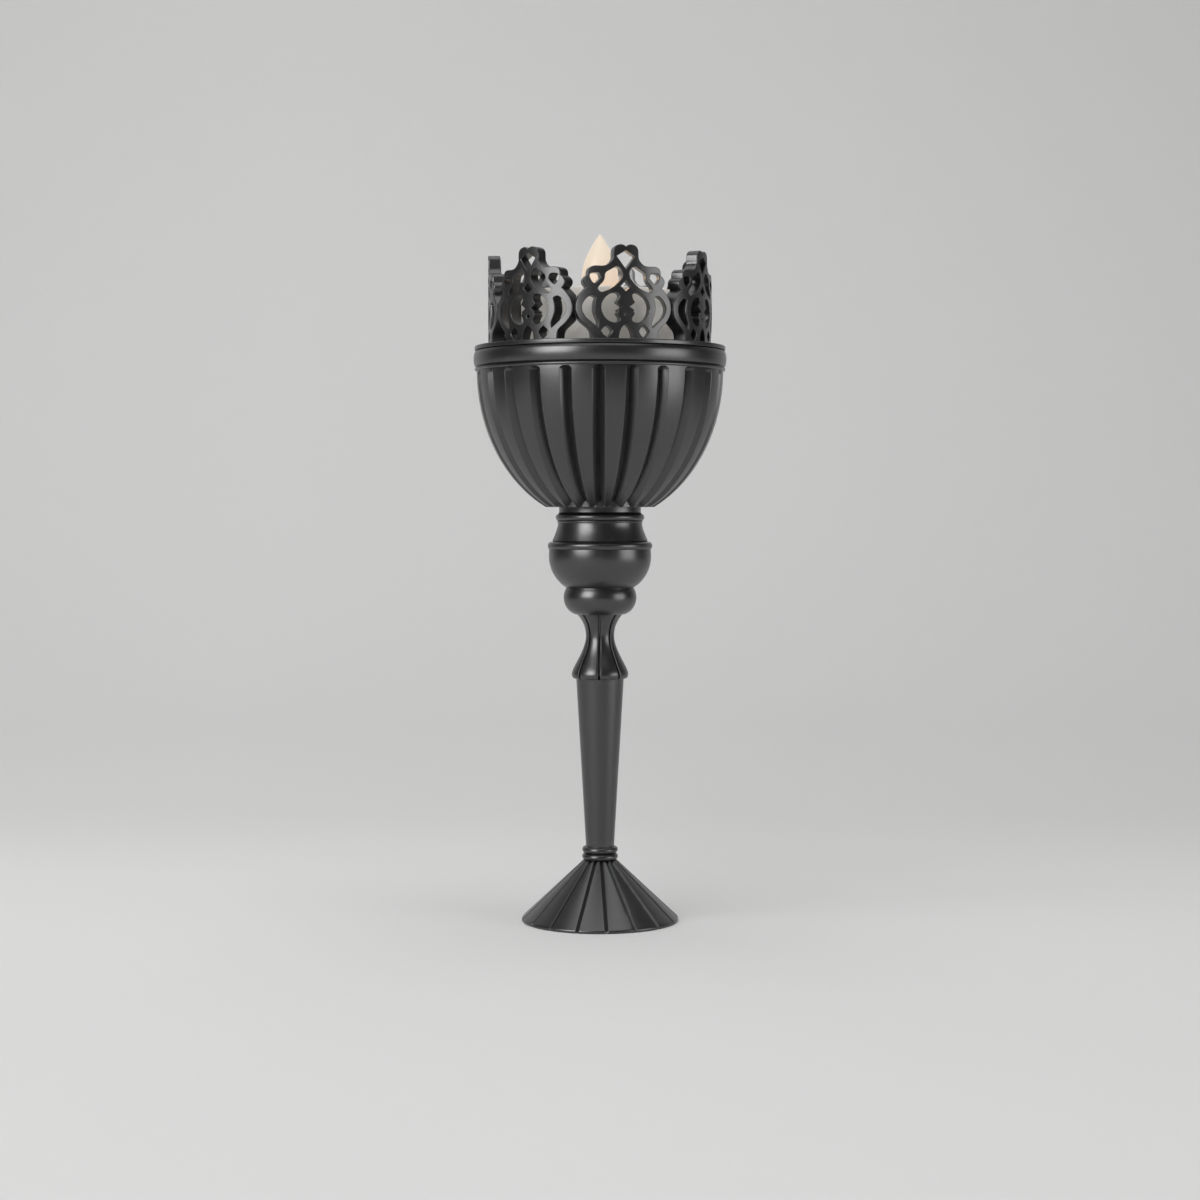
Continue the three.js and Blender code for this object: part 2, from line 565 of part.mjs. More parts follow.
// The stretches walked backwards on the other side of the panel's middle line
function mirrorBack(start, stretches) {
  const joints = [start, ...stretches.map((stretch) => stretch[stretch.length - 1])];
  return stretches
    .map((stretch, i) => [joints[i], ...stretch.slice(0, -1)].reverse().map(([x, up]) => [-x, up]))
    .reverse();
}

// Bar with the drawn outline, standing upright and reaching out from the axis through the panel's place
function panelBar(start, stretches, side) {
  const shape = new THREE.Shape();
  shape.moveTo(side * start[0], start[1]);
  follow(shape, stretches.map((stretch) => stretch.map(([across, up]) => [side * across, up])));
  const halfWidth = CROWN_RADIUS * Math.sin(Math.PI / PANEL_COUNT) - PANEL_SIDE_SPACE;
  const bar = raised(shape, CROWN_RADIUS + CUT_OVERRUN, 0, 1)
    .rotateX(Math.PI / 2)
    .scale(halfWidth / DRAWN_HALF_WIDTH, 1, CROWN_HEIGHT / DRAWN_HEIGHT);
  return toSolid(bar);
}

// Panel: a sector of the crown's wall, pierced straight through along the panel's own facing
function makePanel() {
  const halfSector = Math.PI / PANEL_COUNT - PANEL_GAP / 2 / CROWN_INNER_RADIUS;
  const front = -Math.PI / 2;
  const sector = new THREE.Shape();
  sector.absarc(0, 0, CROWN_RADIUS, front - halfSector, front + halfSector);
  sector.absarc(0, 0, CROWN_INNER_RADIUS, front + halfSector, front - halfSector, true);
  const wall = toSolid(raised(sector, CROWN_HEIGHT + 2 * CUT_OVERRUN, -CUT_OVERRUN, 2));
  const edge = [...DRAWN_EDGE, ...mirrorBack(DRAWN_NOTCH, DRAWN_EDGE)];
  let panel = wall.intersect(panelBar(DRAWN_NOTCH, edge, 1));
  for (const [[start], ...stretches] of DRAWN_MIDDLE_HOLES) {
    panel = panel.subtract(panelBar(start, stretches, 1));
  }
  for (const [[start], ...stretches] of DRAWN_SIDE_HOLES) {
    panel = panel.subtract(panelBar(start, stretches, 1));
    panel = panel.subtract(panelBar(start, stretches, -1));
  }
  return toGeometry(panel);
}

function makeRod() {
  const bottom = NUT_POCKET_TOP - ROD_STACK;
  const length = BOWL_SEAT + BOWL_FLOOR + ROD_STACK - bottom;
  return new THREE.CylinderGeometry(ROD_RADIUS, ROD_RADIUS, length, BORE_SIDES)
    .rotateX(Math.PI / 2).translate(0, 0, bottom + length / 2);
}

function makeWasher() {
  const washer = circle(WASHER_RADIUS);
  washer.holes.push(circle(BORE_RADIUS));
  return raised(washer, WASHER_THICKNESS);
}

function makeNut() {
  const nut = new THREE.Shape();
  const corner = NUT_WIDTH / 2 / Math.cos(Math.PI / NUT_SIDES);
  for (let i = 0; i < NUT_SIDES; i += 1) {
    const turn = turnOf(i, NUT_SIDES, 0);
    const draw = i === 0 ? 'moveTo' : 'lineTo';
    nut[draw](corner * Math.cos(turn), corner * Math.sin(turn));
  }
  nut.holes.push(circle(ROD_RADIUS + THREAD_CLEARANCE));
  return raised(nut, NUT_HEIGHT);
}

// Heights inside the tea light, from its underside
const CELL_SEAT = BASE_THICKNESS;
const BOARD_SEAT = CELL_SEAT + CELL_THICKNESS + CONTACT_HEIGHT;
const BOARD_TOP = BOARD_SEAT + BOARD_THICKNESS;
const SHELL_CEILING = TEA_LIGHT_HEIGHT - DISH_DEPTH - SHELL_TOP_THICKNESS;

// Across the tea light, from the shell inwards: the switch against the shell's bore, then the cover's lugs,
// the cover and the largest cell that fits in it
const SHELL_BORE = TEA_LIGHT_RADIUS - SHELL_WALL;
const SWITCH_CASE_WIDTH = SWITCH_TAB_WIDTH + 2 * (FIT_CLEARANCE + SWITCH_CASE_WALL);
const SWITCH_CASE_LENGTH = SWITCH_TAB_LENGTH + SWITCH_TRAVEL + 2 * (FIT_CLEARANCE + SWITCH_CASE_WALL);
const SWITCH_REACH = Math.sqrt((SHELL_BORE - FIT_CLEARANCE) ** 2 - (SWITCH_CASE_LENGTH / 2) ** 2);
const SWITCH_PLACE = SWITCH_REACH - SWITCH_CASE_WIDTH / 2;
const LUG_OPENING = SWITCH_REACH - SWITCH_CASE_WIDTH - FIT_CLEARANCE;
const LUG_RADIUS = LUG_OPENING - FIT_CLEARANCE;
const COVER_RADIUS = LUG_RADIUS - LUG_LENGTH;
const COVER_OPENING = COVER_RADIUS + FIT_CLEARANCE;
const CELL_RADIUS = COVER_RADIUS - COVER_WALL - FIT_CLEARANCE;
const POST_PLACE = LUG_OPENING + FIT_CLEARANCE + POST_RADIUS;

function makeShell() {
  const hole = FLAME_NECK_RADIUS + FIT_CLEARANCE;
  const rebate = SHELL_BORE + SHELL_REBATE;
  const dishEdge = TEA_LIGHT_RADIUS - SHELL_EDGE_ROUND - SHELL_WALL;
  const dishFloor = TEA_LIGHT_HEIGHT - DISH_DEPTH;
  const edge = taper(TEA_LIGHT_RADIUS, SHELL_EDGE_ROUND, SHELL_EDGE_ROUND, 2)
    .map(([radius, height]) => [radius, TEA_LIGHT_HEIGHT - SHELL_EDGE_ROUND + height]);
  return turned([
    [rebate, 0], [TEA_LIGHT_RADIUS, 0], ...edge, [dishEdge, TEA_LIGHT_HEIGHT - DISH_DEPTH / 2],
    [hole + SHELL_WALL, dishFloor], [hole, dishFloor], [hole, SHELL_CEILING], [SHELL_BORE, SHELL_CEILING],
    [SHELL_BORE, BASE_THICKNESS], [rebate, BASE_THICKNESS],
  ], WIDE_SIDES);
}

// Flame: a hollow drop on a neck, held by a flange under the shell's top
function makeFlame() {
  const flangeTop = SHELL_CEILING - FIT_CLEARANCE;
  const neckTop = TEA_LIGHT_HEIGHT - DISH_DEPTH;
  const belly = TEA_LIGHT_HEIGHT + FLAME_BELLY_HEIGHT - DISH_DEPTH;
  const flange = FLAME_NECK_RADIUS + FLAME_FLANGE_WIDTH;
  const bore = FLAME_NECK_RADIUS - FLAME_WALL;
  const drop = [];
  for (let i = 1; i < CURVE_STEPS; i += 1) {
    const share = i / CURVE_STEPS;
    const radius = FLAME_RADIUS * Math.cos((share * Math.PI) / 2) ** FLAME_FULLNESS;
    drop.push([radius, belly + share * FLAME_TIP_LENGTH]);
  }
  const swellBelow = new THREE.QuadraticBezierCurve(
    new THREE.Vector2(FLAME_NECK_RADIUS, neckTop),
    new THREE.Vector2(FLAME_RADIUS, neckTop + FLAME_BELLY_HEIGHT / 2),
    new THREE.Vector2(FLAME_RADIUS, belly),
  );
  return turned([
    [bore, flangeTop - FLAME_FLANGE_THICKNESS], [flange, flangeTop - FLAME_FLANGE_THICKNESS],
    [flange, flangeTop], [FLAME_NECK_RADIUS, flangeTop], ...curvePoints(swellBelow, ROUND_STEPS),
    ...drop, [0, belly + FLAME_TIP_LENGTH], [0, belly + bore], [bore, belly],
  ], SLIM_SIDES);
}

// Diode: a domed body on a flange, standing on two leads
function makeLed() {
  const flangeSeat = BOARD_TOP + LED_LEAD_LENGTH;
  const bodySeat = flangeSeat + LED_FLANGE_THICKNESS;
  const domeSeat = bodySeat + LED_BODY_LENGTH;
  const flange = LED_RADIUS + LED_FLANGE_WIDTH;
  const dome = taper(LED_RADIUS, LED_RADIUS, LED_RADIUS, 4).map(([radius, up]) => [radius, domeSeat + up]);
  let body = toSolid(turned([
    [0, flangeSeat], [flange, flangeSeat], [flange, bodySeat], [LED_RADIUS, bodySeat], ...dome.slice(0, -1),
    [0, domeSeat + LED_RADIUS],
  ], BORE_SIDES));
  for (const side of [-1, 1]) {
    const x = (side * LED_LEAD_SPACING) / 2;
    const height = LED_LEAD_LENGTH + LED_FLANGE_THICKNESS / 2;
    body = body.add(toSolid(box(LED_LEAD_WIDTH, LED_LEAD_WIDTH, height, x, 0, BOARD_TOP)));
  }
  return toGeometry(body);
}

function makeBoard() {
  return raised(circle(SHELL_BORE - BOARD_GAP), BOARD_THICKNESS, BOARD_SEAT, SLIM_SIDES / 2);
}

function makeCell() {
  return new THREE.CylinderGeometry(CELL_RADIUS, CELL_RADIUS, CELL_THICKNESS, WIDE_SIDES)
    .rotateX(Math.PI / 2).translate(0, 0, CELL_SEAT + CELL_THICKNESS / 2);
}

// Leaf: a bent strip from the board down to the middle of the cell
function makeContactLeaf() {
  const low = CELL_SEAT + CELL_THICKNESS;
  const half = CONTACT_LENGTH / 2;
  const strip = new THREE.Shape();
  strip.moveTo(-half, BOARD_SEAT - CONTACT_THICKNESS);
  strip.lineTo(0, BOARD_SEAT - CONTACT_THICKNESS);
  strip.lineTo(half, low);
  strip.lineTo(half + CONTACT_THICKNESS, low);
  strip.lineTo(half + CONTACT_THICKNESS, low + CONTACT_THICKNESS);
  strip.lineTo(0, BOARD_SEAT);
  strip.lineTo(-half, BOARD_SEAT);
  return raised(strip, CONTACT_WIDTH).rotateX(Math.PI / 2).translate(0, CONTACT_WIDTH / 2, 0);
}

// Clip: an angled strip from the board down beside the cell, above the cover's rim
function makeContactClip() {
  const near = CELL_RADIUS + ROD_CLEARANCE;
  const low = BASE_THICKNESS + COVER_RIM_HEIGHT + FIT_CLEARANCE;
  const strip = new THREE.Shape();
  strip.moveTo(near, low);
  strip.lineTo(near + CONTACT_THICKNESS, low);
  strip.lineTo(near + CONTACT_THICKNESS, BOARD_SEAT - CONTACT_THICKNESS);
  strip.lineTo(near + CONTACT_WIDTH, BOARD_SEAT - CONTACT_THICKNESS);
  strip.lineTo(near + CONTACT_WIDTH, BOARD_SEAT);
  strip.lineTo(near, BOARD_SEAT);
  return raised(strip, CONTACT_WIDTH).rotateX(Math.PI / 2).translate(0, CONTACT_WIDTH / 2, 0);
}

// Base plate: a disc with the cover's opening and its notches, the switch slot and three posts
function makeBasePlate() {
  const radius = SHELL_BORE + SHELL_REBATE - FIT_CLEARANCE;
  const plate = new THREE.CylinderGeometry(radius, radius, BASE_THICKNESS, WIDE_SIDES)
    .rotateX(Math.PI / 2).translate(0, 0, BASE_THICKNESS / 2);
  const opening = new THREE.Shape();
  const halfNotch = (LUG_NOTCH_SPAN / 2) * DEGREE;
  for (let i = 0; i < LUG_COUNT; i += 1) {
    const notch = turnOf(i, LUG_COUNT, 0);
    const next = turnOf(i + 1, LUG_COUNT, 0);
    opening.absarc(0, 0, LUG_OPENING, notch - halfNotch, notch + halfNotch);
    opening.absarc(0, 0, COVER_OPENING, notch + halfNotch, next - halfNotch);
  }
  opening.closePath();
  const slotHalfLength = (SWITCH_KNOB_LENGTH + SWITCH_TRAVEL) / 2 + FIT_CLEARANCE;
  const slotHalfWidth = SWITCH_KNOB_WIDTH / 2 + FIT_CLEARANCE;
  const through = BASE_THICKNESS + 2 * CUT_OVERRUN;
  const slot = box(2 * slotHalfLength, 2 * slotHalfWidth, through, 0, SWITCH_PLACE, -CUT_OVERRUN);
  let body = toSolid(plate);
  body = body.subtract(toSolid(raised(opening, through, -CUT_OVERRUN, 3)));
  body = body.subtract(toSolid(slot));
  const sunk = BASE_THICKNESS / 2;
  const length = BOARD_SEAT - sunk;
  for (let i = 0; i < POST_COUNT; i += 1) {
    const turn = turnOf(i, POST_COUNT, 0);
    const post = new THREE.CylinderGeometry(POST_RADIUS, POST_RADIUS, length, POST_SIDES)
      .rotateX(Math.PI / 2)
      .translate(POST_PLACE * Math.sin(turn), -POST_PLACE * Math.cos(turn), sunk + length / 2);
    body = body.add(toSolid(post));
  }
  return toGeometry(body);
}

// Cover: a round cup under the cell that locks by lugs on top of the base plate
function makeCover() {
  const rimTop = BASE_THICKNESS + COVER_RIM_HEIGHT;
  const bore = COVER_RADIUS - COVER_WALL;
  let body = toSolid(turned([
    [0, COVER_INSET], [COVER_RADIUS, COVER_INSET], [COVER_RADIUS, rimTop], [bore, rimTop],
    [bore, BASE_THICKNESS], [0, BASE_THICKNESS],
  ], COLUMN_SIDES));
  const halfLug = (LUG_SPAN / 2) * DEGREE;
  for (let i = 0; i < LUG_COUNT; i += 1) {
    const turn = turnOf(i, LUG_COUNT, -COVER_TURN);
    const lug = new THREE.Shape();
    lug.absarc(0, 0, LUG_RADIUS, turn - halfLug, turn + halfLug);
    lug.absarc(0, 0, COVER_RADIUS - COVER_WALL / 2, turn + halfLug, turn - halfLug, true);
    body = body.add(toSolid(raised(lug, LUG_THICKNESS, BASE_THICKNESS + ROD_CLEARANCE, 3)));
  }
  const slotHeight = COIN_SLOT_DEPTH + CUT_OVERRUN;
  const slot = box(COIN_SLOT_LENGTH, COIN_SLOT_WIDTH, slotHeight, 0, 0, COVER_INSET - CUT_OVERRUN);
  return toGeometry(body.subtract(toSolid(slot)));
}

function makeSwitchCase() {
  const inner = SWITCH_TAB_HEIGHT + 2 * ROD_CLEARANCE;
  const cavityWidth = SWITCH_CASE_WIDTH - 2 * SWITCH_CASE_WALL;
  const cavityLength = SWITCH_CASE_LENGTH - 2 * SWITCH_CASE_WALL;
  const height = inner + SWITCH_CASE_WALL;
  const outer = box(SWITCH_CASE_LENGTH, SWITCH_CASE_WIDTH, height, 0, SWITCH_PLACE, BASE_THICKNESS);
  const below = BASE_THICKNESS - CUT_OVERRUN;
  const cavity = box(cavityLength, cavityWidth, inner + CUT_OVERRUN, 0, SWITCH_PLACE, below);
  return toGeometry(toSolid(outer).subtract(toSolid(cavity)));
}

// Slider: a knob in the plate's slot under a wider tab, resting at the off end of its travel
function makeSlider() {
  const x = -SWITCH_TRAVEL / 2;
  const tabSeat = BASE_THICKNESS + ROD_CLEARANCE;
  const tab = box(SWITCH_TAB_LENGTH, SWITCH_TAB_WIDTH, SWITCH_TAB_HEIGHT, x, SWITCH_PLACE, tabSeat);
  const knobHeight = tabSeat + SWITCH_TAB_HEIGHT / 2 - SWITCH_KNOB_RECESS;
  const knob = box(SWITCH_KNOB_LENGTH, SWITCH_KNOB_WIDTH, knobHeight, x, SWITCH_PLACE, SWITCH_KNOB_RECESS);
  return toGeometry(toSolid(tab).add(toSolid(knob)));
}

// Stand: everything on the tie rod, from the table up to the rim
const stand = new THREE.Group();
const beadRing = makeBeadRing(BEAD_RADIUS, BEAD_BULGE, BEAD_HEIGHT, SLIM_SIDES);
const knopRing = makeBeadRing(KNOP_RING_RADIUS, KNOP_RING_BULGE, KNOP_RING_HEIGHT, COLUMN_SIDES);
stand.add(
  piece('foot', makeFoot(), satinBlack),
  piece('foot_pad', makePad(), felt),
  piece('tie_rod', makeRod(), steel),
  piece('rod_bottom_washer', makeWasher(), steel, NUT_POCKET_TOP - WASHER_THICKNESS),
  piece('rod_bottom_nut', makeNut(), steel, NUT_POCKET_TOP - WASHER_THICKNESS - NUT_HEIGHT),
  piece('rod_top_washer', makeWasher(), steel, BOWL_SEAT + BOWL_FLOOR),
  piece('rod_top_nut', makeNut(), steel, BOWL_SEAT + BOWL_FLOOR + WASHER_THICKNESS),
  piece('lower_bead_ring', beadRing, satinBlack, LOWER_BEAD_SEAT),
  piece('upper_bead_ring', beadRing, satinBlack, UPPER_BEAD_SEAT),
  piece('stem', makeStem(), satinBlack, STEM_SEAT),
  piece('stem_skirt', makeSkirt(), satinBlack, SKIRT_SEAT),
  piece('lower_knop', makeKnop(LOWER_KNOP_RADIUS, LOWER_KNOP_CORE, LOWER_KNOP_FOOT_INSET,
    LOWER_KNOP_LOWER_HEIGHT, LOWER_KNOP_TOP_INSET, LOWER_KNOP_UPPER_HEIGHT), satinBlack, LOWER_KNOP_SEAT),
  piece('upper_knop', makeKnop(UPPER_KNOP_RADIUS, UPPER_KNOP_CORE, UPPER_KNOP_FOOT_INSET,
    UPPER_KNOP_LOWER_HEIGHT, UPPER_KNOP_TOP_INSET, UPPER_KNOP_UPPER_HEIGHT), satinBlack, UPPER_KNOP_SEAT),
  piece('knop_ring', knopRing, satinBlack, KNOP_RING_SEAT),
  piece('neck', makeNeck(), satinBlack, NECK_SEAT),
  piece('bowl', makeBowl(), satinBlack, BOWL_SEAT),
  piece('rim_band', makeRim(), satinBlack, RIM_SEAT),
);

// Crown: the panels in a ring on the rim
const crown = new THREE.Group();
crown.position.z = RIM_TOP;
const panelGeometry = makePanel();
for (let i = 0; i < PANEL_COUNT; i += 1) {
  const panel = piece(`crown_panel_${i + 1}`, panelGeometry, satinBlack);
  panel.rotation.z = turnOf(i, PANEL_COUNT, PANEL_START);
  crown.add(panel);
}

// Tea light, standing on the floor of the pan
const teaLight = new THREE.Group();
teaLight.position.z = TEA_LIGHT_SEAT;
teaLight.add(
  piece('candle_shell', makeShell(), ivory),
  piece('flame_tip', makeFlame(), flamePale),
  piece('led', makeLed(), lens),
  piece('circuit_board', makeBoard(), boardGreen),
  piece('contact_leaf', makeContactLeaf(), steel),
  piece('contact_clip', makeContactClip(), steel),
  piece('coin_cell', makeCell(), steel),
  piece('base_plate', makeBasePlate(), ivory),
  piece('battery_cover', makeCover(), ivory),
  piece('switch_housing', makeSwitchCase(), switchBlack),
  piece('switch_slider', makeSlider(), switchBlack),
);

const holder = new THREE.Group();
holder.add(stand, crown, piece('candle_pan', makePan(), satinBlack, TEA_LIGHT_SEAT), teaLight);

export default holder;
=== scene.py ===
import math

import bmesh
import bpy
import numpy as np
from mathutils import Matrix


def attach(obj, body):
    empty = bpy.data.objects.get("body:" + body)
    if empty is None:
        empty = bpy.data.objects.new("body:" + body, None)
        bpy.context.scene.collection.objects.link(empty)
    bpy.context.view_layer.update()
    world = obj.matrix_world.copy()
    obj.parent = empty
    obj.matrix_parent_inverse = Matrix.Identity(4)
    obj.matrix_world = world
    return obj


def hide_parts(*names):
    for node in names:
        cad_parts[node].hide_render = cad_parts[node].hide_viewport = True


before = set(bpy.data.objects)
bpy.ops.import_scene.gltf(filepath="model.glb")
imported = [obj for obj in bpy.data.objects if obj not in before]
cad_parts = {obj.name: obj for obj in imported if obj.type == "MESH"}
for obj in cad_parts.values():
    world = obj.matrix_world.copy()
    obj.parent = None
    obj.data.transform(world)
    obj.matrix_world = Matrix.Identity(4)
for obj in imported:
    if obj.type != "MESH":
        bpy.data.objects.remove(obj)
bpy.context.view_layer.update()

# Tea light holder: fine turned, fluted and pierced pieces over the solids, in the same frame.
# Sizes of pieces are millimetres, as in the part's source; meshes, lamps and stage are in metres.
MM = 0.001

# Clearances and tie rod bore
FIT = 0.3
BORE = 1.7

# Stack of seats along the axis
FOOT_HEIGHT = 13.4
BEAD_HEIGHT = 1.5
STEM_LENGTH = 36.95
SKIRT_LIP_HEIGHT = 1.0
SKIRT_FLARE_HEIGHT = 8.3
SKIRT_TOP_HEIGHT = 4.8
LOWER_KNOP_HEIGHTS = (3.68, 2.17)
UPPER_KNOP_HEIGHTS = (6.85, 1.85)
KNOP_RING_HEIGHT = 1.25
NECK_HEIGHTS = (4.75, 1.4, 1.45)
BOWL_HEIGHT = 29.53
RIM_LOWER_LIP = 0.72
RIM_BAND_HEIGHT = 3.35
RIM_UPPER_LIP = 0.88
RIM_GROOVE_WIDTH = 0.2
PAN_DEPTH = 7.65

LOWER_BEAD_SEAT = FOOT_HEIGHT
UPPER_BEAD_SEAT = LOWER_BEAD_SEAT + BEAD_HEIGHT
STEM_SEAT = UPPER_BEAD_SEAT + BEAD_HEIGHT
SKIRT_SEAT = STEM_SEAT + STEM_LENGTH
SKIRT_HEIGHT = SKIRT_LIP_HEIGHT + SKIRT_FLARE_HEIGHT + SKIRT_TOP_HEIGHT
LOWER_KNOP_SEAT = SKIRT_SEAT + SKIRT_HEIGHT
UPPER_KNOP_SEAT = LOWER_KNOP_SEAT + sum(LOWER_KNOP_HEIGHTS)
KNOP_RING_SEAT = UPPER_KNOP_SEAT + sum(UPPER_KNOP_HEIGHTS)
NECK_SEAT = KNOP_RING_SEAT + KNOP_RING_HEIGHT
BOWL_SEAT = NECK_SEAT + sum(NECK_HEIGHTS)
RIM_SEAT = BOWL_SEAT + BOWL_HEIGHT
RIM_HEIGHT = RIM_LOWER_LIP + RIM_BAND_HEIGHT + RIM_UPPER_LIP + 2 * RIM_GROOVE_WIDTH
RIM_TOP = RIM_SEAT + RIM_HEIGHT
TEA_LIGHT_SEAT = RIM_TOP - PAN_DEPTH

# Foot
FOOT_RADIUS = 17.2
FOOT_EDGE = 0.62
FOOT_UNDERCUT = 0.15
FOOT_UNDERCUT_STEP = (0.03, 0.08)
FOOT_SHOULDER = 0.22
FOOT_TOP_RADIUS = 3.6
FOOT_RIM_WIDTH = 2.0
FOOT_GROOVES = 17
FOOT_GROOVE_START = 4.7
FOOT_GROOVE_WIDTH = 0.8
FOOT_GROOVE_DEPTH = 0.45
FOOT_GROOVE_EDGE_SHARE = 0.35
FOOT_POCKET_RADIUS = 3.8
FOOT_POCKET_TOP = 4.9
PAD_THICKNESS = 1.2
PAD_CORNER = ((0.25, 0.0), (0.06, 0.08), (0.0, 0.3))

# Column
BEAD_RADIUS = 3.93
BEAD_BULGE = 0.75
STEM_RADII = (3.08, 5.22)
SKIRT_WAIST = 3.1
SKIRT_LIP_RADIUS = 6.2
SKIRT_LIP_ROUND = 0.6
SKIRT_TOP_RADIUS = 5.05
SKIRT_LIP_PULL = 1.4
SKIRT_WAIST_PULL = 3.1
SKIRT_TOP_PULL = 2.7
SKIRT_GROOVES = 8
SKIRT_GROOVE_START = -2.0
SKIRT_GROOVE_WIDTH = 0.46
SKIRT_GROOVE_DEPTH = 0.8
SKIRT_GROOVE_ROUND = 0.14
# Knops as belly radius, core radius, foot inset, top inset and top round
LOWER_KNOP = (7.98, 4.3, 2.38, 0.6, 0.06)
UPPER_KNOP = (11.2, 3.0, 3.7, 0.08, 0.06)
KNOP_RING_RADIUS = 11.45
KNOP_RING_BULGE = 0.85
KNOP_RING_DROP = 0.3
KNOP_RING_FOOT = 0.35
NECK_RADIUS = 9.2
NECK_FLARE = 1.38
NECK_FLARE_FOOT = 0.9
NECK_KNEE = 3.0
NECK_BEAD_BULGE = 0.5
NECK_TOP_INSET = 0.25
NECK_COVE = 0.45
CREASE = 0.2
SEAM = 0.3
NECK_STEP_DROP = 0.52
NECK_STEP_HEIGHT = 0.42
NECK_STEP_BULGE = 0.18

# Bowl and rim
PAN_INNER = 19.6
PAN_OUTER = 20.4
PAN_FLANGE = 21.4
PAN_FLANGE_THICKNESS = 0.9
PAN_FLOOR = 0.8
PAN_LIP_ROUND = 0.15
PAN_CORNER = 0.4
PAN_CORNER_STEP = 0.12
PAN_FILLET = 0.25
RIM_BORE = PAN_OUTER + FIT
RIM_COUNTERBORE = PAN_FLANGE + FIT
CROWN_INNER = RIM_COUNTERBORE + 0.08
CROWN_OUTER = CROWN_INNER + 2.55
RIM_RADIUS = CROWN_OUTER + 2.97
RIM_SPIGOT_DEPTH = 1.5
RIM_SPIGOT_CLEARANCE = 0.5
RIM_BAND_BULGE = 0.24
RIM_BAND_SHOULDER = 0.15
RIM_GROOVE_DEPTH = 0.4
RIM_GROOVE_EXTRA = 0.06
RIM_EDGE = 0.08
RIM_CHAMFER = 0.1
BOWL_RADIUS = RIM_RADIUS - 0.46
BOWL_BASE = 11.9
BOWL_MOUTH = BOWL_RADIUS - 3.4
BOWL_FLOOR = 4.0
BOWL_WELL = 8.0
FLUTES = 24
FLUTE_START = -0.57
FLUTE_WIDTH = 2.66
FLUTE_DEPTH = 1.55
FLUTE_TOP_MARGIN = 0.1
FLUTE_HEAD = 0.8
FLUTE_HEAD_POWER = 1.3
FLUTE_CLOSED_SHARE = 0.3
FLUTE_LEAST_SHARE = 0.02
FLUTE_BASE_SHARE = 0.9
FLUTE_EDGE = 0.04
FLUTE_END = 0.03
FLUTE_SHARP = 20
BOWL_COLLAR_RADIUS = 11.6
BOWL_COLLAR_HEIGHT = 1.3

# Crown
PANELS = 7
PANEL_START = 12.9
PANEL_GAP = 0.08
PANEL_SIDE_SPACE = 0.33
PANEL_EDGE_ROUND = 0.25
PANEL_BACK_ROUND = 0.1
PANEL_CURVE_STEPS = 5
PANEL_ROUND_STEPS = 5
PANEL_SHARP = 38
PANEL_CUT_REACH = 9.6
PANEL_CUT_STEP = 0.8
SHORTEST_EDGE = 0.02
TOLERANCE = 1e-5
DRAWN_HALF_WIDTH = 10.22

# Tea light
TEA_LIGHT_RADIUS = 19.0
TEA_LIGHT_HEIGHT = 19.1
SHELL_WALL = 2.0
SHELL_EDGE_ROUND = 0.15
SHELL_TOP_RADIUS = 17.15
SHELL_TOP_WALL = 0.7
SHELL_TOP_RISE = 0.18
SHELL_TAPER = (3.0, 8.2)
SHELL_REBATE = 0.8
SHELL_TOP_THICKNESS = 1.4
SHELL_FOOT_ROUND = 0.25
FLAME_HOLE_ROUND = 0.2
DISH_LIP = 1.0
DISH_DEPTH = 1.5
BASE_THICKNESS = 1.6
FLAME_RADIUS = 3.95
FLAME_NECK = 2.9
FLAME_WALL = 0.9
FLAME_FLANGE = (1.5, 1.1)
FLAME_BELLY_HEIGHT = 5.1
FLAME_TIP_LENGTH = 9.45
FLAME_FULLNESS = 0.93
# Heights in metres between which the flame's colour changes
FLAME_TINT_SPAN = (0.138, 0.1445)
FLAME_LOW = (0.98, 0.73, 0.55)
FLAME_HIGH = (1.0, 0.86, 0.69)

# Panel drawing, right half, points as (across, up); a single point is a straight run
DRAWN_NOTCH = (0, 19.12)
DRAWN_EDGE = [
    [(0.3, 19.38), (0.7, 19.56), (1.25, 19.6), (2.1, 19.3), (2.62, 18.6), (2.72, 17.6), (2.76, 16.75),
     (3.28, 15.9), (4.06, 15.32), (5.1, 15.15), (6.3, 15.2), (7.15, 14.98), (7.65, 14.45), (7.8, 13.35)],
    [(8.3, 12.95), (8.7, 12.2), (8.55, 11.4), (8.1, 10.75)],
    [(8.95, 9.8), (9.65, 8.8), (10.07, 7.8), (10.22, 6.7), (10.1, 5.55), (9.65, 4.5), (9.0, 3.6),
     (8.2, 2.85), (7.5, 2.2), (7.1, 1.4), (6.95, 0)],
    [(1.5, 0)],
    [(1.32, 1.3), (0.85, 2.4), (0, 3.2)],
]
DRAWN_MIDDLE_HOLES = [
    [[(0, 18.35)], [(1.92, 17.15)], [(0, 14.45)], [(-1.92, 17.15)], [(0, 18.35)]],
    [[(0, 12.15)], [(1.08, 10.95)], [(0, 9.9)], [(-1.08, 10.95)], [(0, 12.15)]],
    [[(0, 5.5)], [(0.38, 5.05)], [(0, 4.6)], [(-0.38, 5.05)], [(0, 5.5)]],
]
